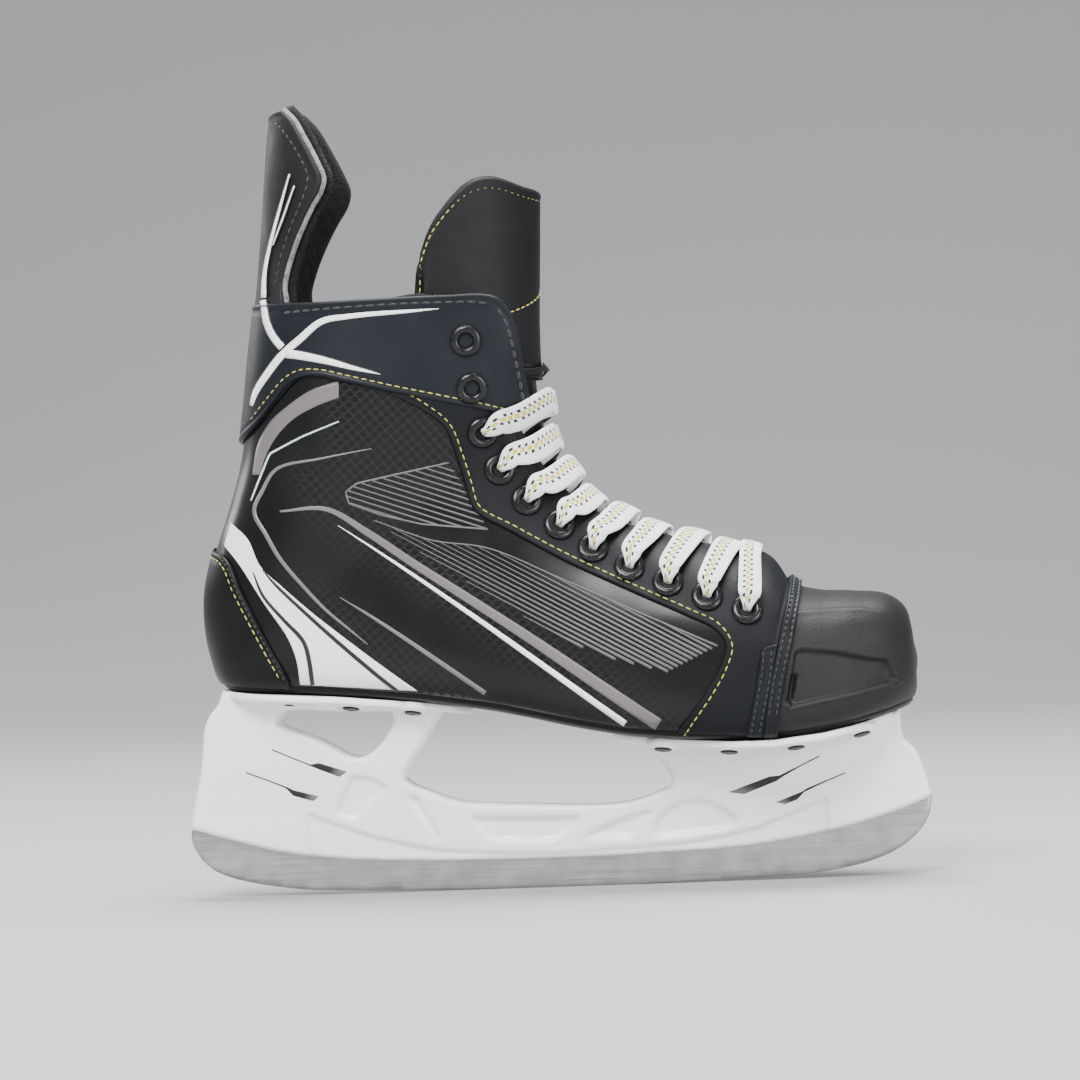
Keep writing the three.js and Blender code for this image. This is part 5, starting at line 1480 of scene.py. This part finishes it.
def build_bars():
    """Speed bars printed on both faces of the holder."""
    bars = [
        ([[-112.2, 59.5], [-105.2, 56.3], [-97.0, 52.9], [-94.1, 53.5], [-82.7, 49.5]],
         [[-112.2, 59.4], [-105.2, 56.0], [-97.0, 52.2], [-94.5, 51.1], [-86.0, 47.5]]),
        ([[-123.3, 50.7], [-114.0, 47.0], [-107.2, 44.2], [-104.9, 42.9], [-94.7, 40.0]],
         [[-123.3, 50.5], [-114.0, 46.6], [-107.6, 43.6], [-105.0, 40.6], [-97.1, 38.1]]),
        ([[105.2, 49.3], [97.0, 45.6], [89.0, 41.9], [85.0, 41.6], [68.5, 35.9]],
         [[105.2, 49.1], [97.4, 45.2], [90.5, 41.5], [87.7, 39.7], [74.8, 34.9]]),
        ([[115.2, 42.2], [107.0, 39.2], [99.5, 36.3], [97.9, 35.2], [87.0, 31.2]],
         [[115.2, 42.0], [107.0, 38.6], [98.5, 34.9], [95.8, 32.1], [90.9, 30.3]]),
    ]
    bm = bmesh.new()
    for high, low in bars:
        at = np.linspace(0, 4, 41)
        left, right = (
            np.stack([np.interp(at, range(5), np.array(e)[:, k]) for k in (0, 1)], -1) for e in (high, low)
        )
        thin = np.clip((0.55 - np.linalg.norm(left - right, axis=1)) / 2, 0, 1)[:, None] * (0, 1)
        left, right = left + thin, right - thin
        line = left + (right - left) * np.linspace(0, 1, 4)[:, None, None]
        x, z = line[..., 0], line[..., 1]
        for side in (-1, 1):
            y = side * (holder_width(x, z) + 0.06)
            outward = np.zeros((*x.shape, 3)) + (0, side, 0)
            add_grid(
                bm, np.stack([x, y, z], -1), outward,
                {"fade": 0.8 * np.clip((at - 3.5) / 0.7, 0, 1) + 0 * x}
            )
    piece("holder_bars", bm, FINISH["bars"], wall=0.12)


def build_runner():
    def fall(x):
        over = np.abs(x) - 10
        return over**2 / 5400 + 0.25 * (over / 60) ** 2

    bottom = np.array([[x, fall(x)] for x in np.linspace(10, 100, 30)])
    toe = flowing(
        [bottom[-1], [112, 3.6], [122, 5.7], [131, 8.8], [138, 12.6], [144, 17.9], [148, 24.4],
            [149.2, 31.8]], 40
    )[1:]
    heel = flowing(
        [[-100, 2.06], [-110, 3.3], [-122, 5.4], [-133, 8.4], [-140, 12], [-145, 17.6], [-147.6, 24],
            [-147.2, 28.4]], 40
    )[1:]
    crown = flowing(STEEL_TOP, 90) + (0, 3.0)
    crown = crown[(crown[:, 0] > -139) & (crown[:, 0] < 141)]
    outline = np.vstack([bottom, toe, crown[::-1], heel[::-1], (bottom * (-1, 1))[::-1]])
    bm = moulding(outline, [], lambda x, z: 0 * x + 1.5, 0.35, 1.5)
    piece("runner_blade", bm, FINISH["steel"], replaces=["runner"])


def rivet_frame(x, y, side):
    """Turned with the sole's slope and with the underside of the flange, which rises outwards."""
    lean = math.atan2(sole_at(x + 3) - sole_at(x - 3), 6)
    place = Matrix.Translation((x * MM, side * y * MM, (sole_at(x) - 3.4) * MM))
    return place @ Matrix.Rotation(-lean, 4, "Y") @ Matrix.Rotation(side * math.radians(15), 4, "X")


def build_rivets():
    for i, (x, y) in enumerate(RIVETS):
        for name, side in SIDES.items():
            profile = [
                (0.01, -2.1), (2.2, -2.05), (3.2, -1.9), (3.5, -1.6), (3.5, -1.2), (2, -1.1), (2, 9.4),
                (3.2, 9.6),
                (2.6, 10.4), (0.01, 10.5),
            ]
            bm = spun(profile, 20)
            bm.transform(rivet_frame(x, y, side))
            piece(
                f"rivet_head_{name}_{i + 1}", bm, FINISH["rivet"],
                replaces=[f"rivet_{name}_{i + 1}"]
            )


# ---------------------------------------------------------------- graphics and seams
HATCH_SHORT = [
    [-35.2, 170.5], [-71.8, 163.7], [-76.3, 160.4], [-75.2, 156.0], [-62.6, 150.9], [-47.1, 146.8],
    [-21.0, 143.8]
]
HATCH_LONG = [[-65.7, 149.0], [-43.4, 140.4], [-21.3, 136.4], [6.7, 123.6], [37.4, 109.1], [67.3, 95.1],
    [47.4, 85.7],
              [21.2, 93.0], [-1.8, 105.2], [-24.7, 120.1], [-47.5, 135.5]]


def hatch_lines(loop, slope, pitch, start):
    """Parallel side-view segments that fill a closed outline."""
    loop = np.array(loop, float)
    turn = math.atan(slope)
    across = np.array([-math.sin(turn), math.cos(turn)])
    along = np.array([math.cos(turn), math.sin(turn)])
    low, high = (loop @ across).min(), (loop @ across).max()
    for level in np.arange(low + start, high, pitch):
        cuts = []
        for p, q in zip(loop, np.roll(loop, -1, axis=0)):
            a, b = p @ across - level, q @ across - level
            if (a > 0) != (b > 0):
                cuts.append((p + (q - p) * (a / (a - b))) @ along)
        cuts.sort()
        for a, b in zip(cuts[::2], cuts[1::2]):
            if b - a > 3:
                yield along * a + across * level, along * b + across * level


# The stripes of the quarter print: layer, lift over the film, flowing or straight, then [x, z, width] points.
QUARTER_STRIPES = [
    ("pale", 0.12, False,
     [[-77.5, 188.2, 0.5], [-92.6, 182.9, 0.7], [-106.5, 176.8, 0.8], [-110.7, 168, 0.8],
         [-115, 158.7, 0.6]]),
    ("taupe", 0.12, True,
     [[-65.1, 177.1, 0.3], [-85.1, 174, 0.8], [-104, 170.4, 1.3], [-109.8, 162.5, 1.6],
         [-113.6, 154.4, 1.7], [-108.9, 145.2, 1.7], [-103.4, 135.3, 1.6], [-94.8, 124.4, 1.4],
         [-86.2, 114.7, 1.2], [-77.9, 107.3, 0.9], [-70, 100.4, 0.3]]),
    ("taupe", 0.14, True,
     [[-102.7, 154, 0.8], [-83.9, 154, 1.8], [-68.7, 144.5, 2.8], [-51.6, 132.1, 3.2], [-28.7, 116.4, 3.6],
         [-5.9, 100.6, 4], [16.9, 84.1, 4.6], [43, 65.2, 5]]),
    ("white", 0.14, True,
     [[-79.9, 147.6, 0.2], [-63.1, 135.7, 0.9], [-44.1, 122, 1.4], [-25.1, 108, 1.8], [1.4, 87.9, 2.2],
         [30, 66, 2.6]]),
    ("taupe", 0.12, True,
     [[-80.6, 119.5, 0.2], [-68, 111.2, 1.1], [-52.8, 100.5, 1.6], [-37.6, 89.4, 1.9], [-24.5, 79.6, 2]]),
    ("ink", 0.3, True,
     [[-114.6, 130.4, 0.5], [-111.1, 121.3, 1.2], [-103.1, 111.4, 1.4], [-95.3, 102.1, 1.7],
         [-93.6, 94.6, 1.8], [-93.2, 85.2, 1.8]]),
    ("ink", 0.3, True,
     [[-110.7, 131.4, 0.4], [-107.1, 126.8, 1], [-94.2, 113.6, 1.4], [-79.1, 99.2, 1.6],
         [-59.5, 81.6, 1.6]]),
]


def build_graphics():
    layers = {key: bmesh.new() for key in ("taupe", "white", "pale", "ink", "grey")}
    for side in (-1, 1):
        heel_top = flowing(
            [[-77, 204], [-88.1, 201], [-98, 195.4], [-106.7, 188.7], [-112.1, 180], [-114.4, 168.9]], 50
        )
        heel_low = flowing(
            [[-77.2, 197.4], [-86.7, 194.4], [-95.8, 190], [-102.7, 184.1], [-107.6, 177.2],
                [-111.1, 168.8]], 50
        )
        add_print(layers["taupe"], heel_top, heel_low, side)
        for key, lift, smooth, points in QUARTER_STRIPES:
            add_stripe(layers[key], points, side, lift, smooth)
        top = flowing(
            [[-124.5, 150.5], [-116.7, 143.6], [-111.7, 132.8], [-102.7, 123.9], [-92.1, 114.1],
                [-73.2, 98.5], [-51.5, 81.4]], 90
        )
        low = flowing(
            [[-127.5, 141.5], [-121.2, 134.5], [-110.9, 118.3], [-101.6, 103.8], [-98.6, 94.6],
                [-98.2, 85.4]], 90
        )
        add_print(layers["white"], top, low, side)
        for a, b in hatch_lines(HATCH_SHORT, -0.36, 2.2, 0.8):
            add_stripe(layers["grey"], [[*a, 0.55], [*b, 0.75]], side, smooth=False)
        add_stripe(layers["grey"], [[*p, 0.7] for p in HATCH_SHORT], side, 0.14, smooth=False)
        add_stripe(
            layers["grey"], [[*p, 0.5] for p in HATCH_LONG[:5]] + [[*HATCH_LONG[5], 0.9]], side, 0.14
        )
        for a, b in hatch_lines(HATCH_LONG, -0.565, 1.75, 0.5):
            half = (a + b) / 2
            add_stripe(layers["grey"], [[*a, 0.25], [*half, 0.6], [*b, 1.15]], side, smooth=False)
    for key, bm in layers.items():
        piece(f"quarter_print_{key}", bm, FINISH[key], wall=0.1)


def build_cuff_graphics():
    """Stripes that cross from the guard to the cuff: each half rides with its own leather."""
    for body, name, shift in (("boot", "cuff", 0.62), ("guard", "guard", 0.42)):
        bm, dark = bmesh.new(), bmesh.new()
        for side in (-1, 1):
            if name == "guard":
                lines = [
                    [[-93.1, 286.5, 0.4], [-97.5, 273.7, 0.9], [-102.4, 259, 1.3], [-105.2, 247.8, 1.7],
                        [-105.9, 238.6, 2.4]],
                    [[-91.3, 281.7, 0.4], [-96.1, 270.1, 0.5], [-101.2, 259, 0.4]],
                ]
            else:
                lines = [
                    [[-105.9, 237.6, 2.4], [-104.7, 228.9, 2.8], [-101.5, 222.1, 2.8], [-98.3, 218.2, 2.8]],
                    [[-112.4, 196.2, 1.6], [-110.2, 201.2, 2.4], [-104.5, 208.5, 2.8], [-98.7, 214.9, 2.8],
                        [-90.7, 221.2, 2.8], [-82.2, 227.4, 2.4], [-71.6, 228.9, 2], [-48.1, 230, 1.2],
                        [-36.3, 230.5, 0.2]],
                    [[-96.9, 215.6, 3.2], [-93.6, 215.1, 3.2], [-82, 212.3, 2.6], [-70.4, 208.7, 1.5],
                        [-60.3, 206, 0.2]],
                ]
            for line in lines:
                add_stripe(bm, line, side, PANEL + shift)
                add_stripe(dark, line, side, PANEL + shift - 0.09, wider=0.45)
        white = piece(f"{name}_stripes", bm, FINISH["white"], body if name == "cuff" else None, wall=0.1)
        black = piece(
            f"{name}_stripe_borders", dark, FINISH["ink"], body if name == "cuff" else None, wall=0.1
        )
        for obj in (white, black):
            if name == "guard":
                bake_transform(obj, "boot", "guard", start=(-0.11, 0, 0.2364), end=(-0.11, 0, 0.258))


COLLAR_SEAM = [
    [-97, 231.6], [-82.9, 232.1], [-67.6, 232.6], [-51.6, 232.9], [-37.9, 232.9], [-24.2, 232.6], [-17, 231.8],
]
COLLAR_FRONT_SEAM = [
    [-14.2, 230], [-11.6, 225.1], [-9.8, 217.2], [-8.9, 210.1], [-8, 203.1], [-7.3, 195.2], [-6, 188],
]
STRAP_SEAM = [[86.1, 92.5], [85.8, 86], [83.4, 74], [80.3, 62]]
GUARD_SEAM = [
    [-99.8, 308.4], [-96.2, 304.4], [-91.6, 297.4], [-87.6, 289.8], [-86.1, 284.4], [-87.3, 279.4],
    [-89.9, 273.6], [-95.1, 262.8], [-99.5, 250.8], [-101.7, 241.1],
]
COLLAR_THREAD = {"pitch": 4.4, "length": 3.4, "width": 1.2}
FINE_THREAD = {"pitch": 2.8, "length": 2, "width": 0.7}


def build_seams():
    yellow, black = bmesh.new(), bmesh.new()
    guard = bmesh.new()
    for side in (-1, 1):
        facing = beside(flowing(FACING_BACK[1:] + FACING_TOE[1:], 400), 2.7)
        side_stitches(yellow, facing, side, PANEL - 0.15)
        cuff = beside(flowing(CUFF_BOTTOM[:-1], 300), -2.8)
        side_stitches(yellow, cuff, side, PANEL + 0.35)
        counter = flowing(COUNTER_EDGE, 200)
        for bm, inset, lift, thread in (
            (yellow, -3.0, PANEL - 0.15, {}),
            (black, -1.2, PANEL, {"pitch": 2.6, "length": 1.9, "width": 0.7}),
        ):
            line = beside(counter, inset)
            side_stitches(bm, line[line[:, 1] > 88], side, lift, **thread)
        side_stitches(black, COLLAR_SEAM, side, PANEL + 0.8, **COLLAR_THREAD)
        side_stitches(black, COLLAR_FRONT_SEAM, side, PANEL + 0.7, **COLLAR_THREAD)
        for shift in (1.6, -1.6):
            side_stitches(black, [[x + shift, z] for x, z in STRAP_SEAM], side, 2.75, **FINE_THREAD)
        side_stitches(guard, GUARD_SEAM, side, 1.05, pitch=3.6, length=2.7, width=0.8)
    angle = np.linspace(1.0, 2 * math.pi - 1.0, 400)
    for shift in (-3.0, -0.2):
        s = at_edge(angle, shift)
        add_stitches(black, skin(s, angle, 2.75), last_normal(s, angle), 2.8, 2.0, 0.7)
    piece("yellow_stitching", yellow, FINISH["yellow_thread"])
    piece("black_stitching", black, FINISH["black_thread"])
    thread = piece("guard_stitching", guard, FINISH["black_thread"], None)
    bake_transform(thread, "boot", "guard", start=(-0.11, 0, 0.2364), end=(-0.11, 0, 0.258))


def dress_cad_nodes():
    """The pieces that stay as the CAD has them get their own finishes."""
    board = plastic("midsole_board", (0.19, 0.17, 0.14), 0.7, 500, 0.4)
    bolts = plastic("bolt_steel", (0.3, 0.3, 0.31), 0.35, 700, 0.1)
    for name, made in (("midsole", board), ("runner_bolt_rear", bolts), ("runner_bolt_front", bolts)):
        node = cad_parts[name]
        node.data.materials.clear()
        node.data.materials.append(made)


set_camera()
build_tails()
LACED = build_lace()
build_quarters()
build_facings()
build_cuff()
build_guard()
build_counter()
build_toe()
build_binding()
build_lining()
build_sole()
build_tongue()
build_eyelets()
build_holder()
build_bars()
build_runner()
build_rivets()
build_graphics()
build_cuff_graphics()
build_seams()
dress_cad_nodes()
set_studio()

print("laced part of the lace, mm:", round(LACED, 1))
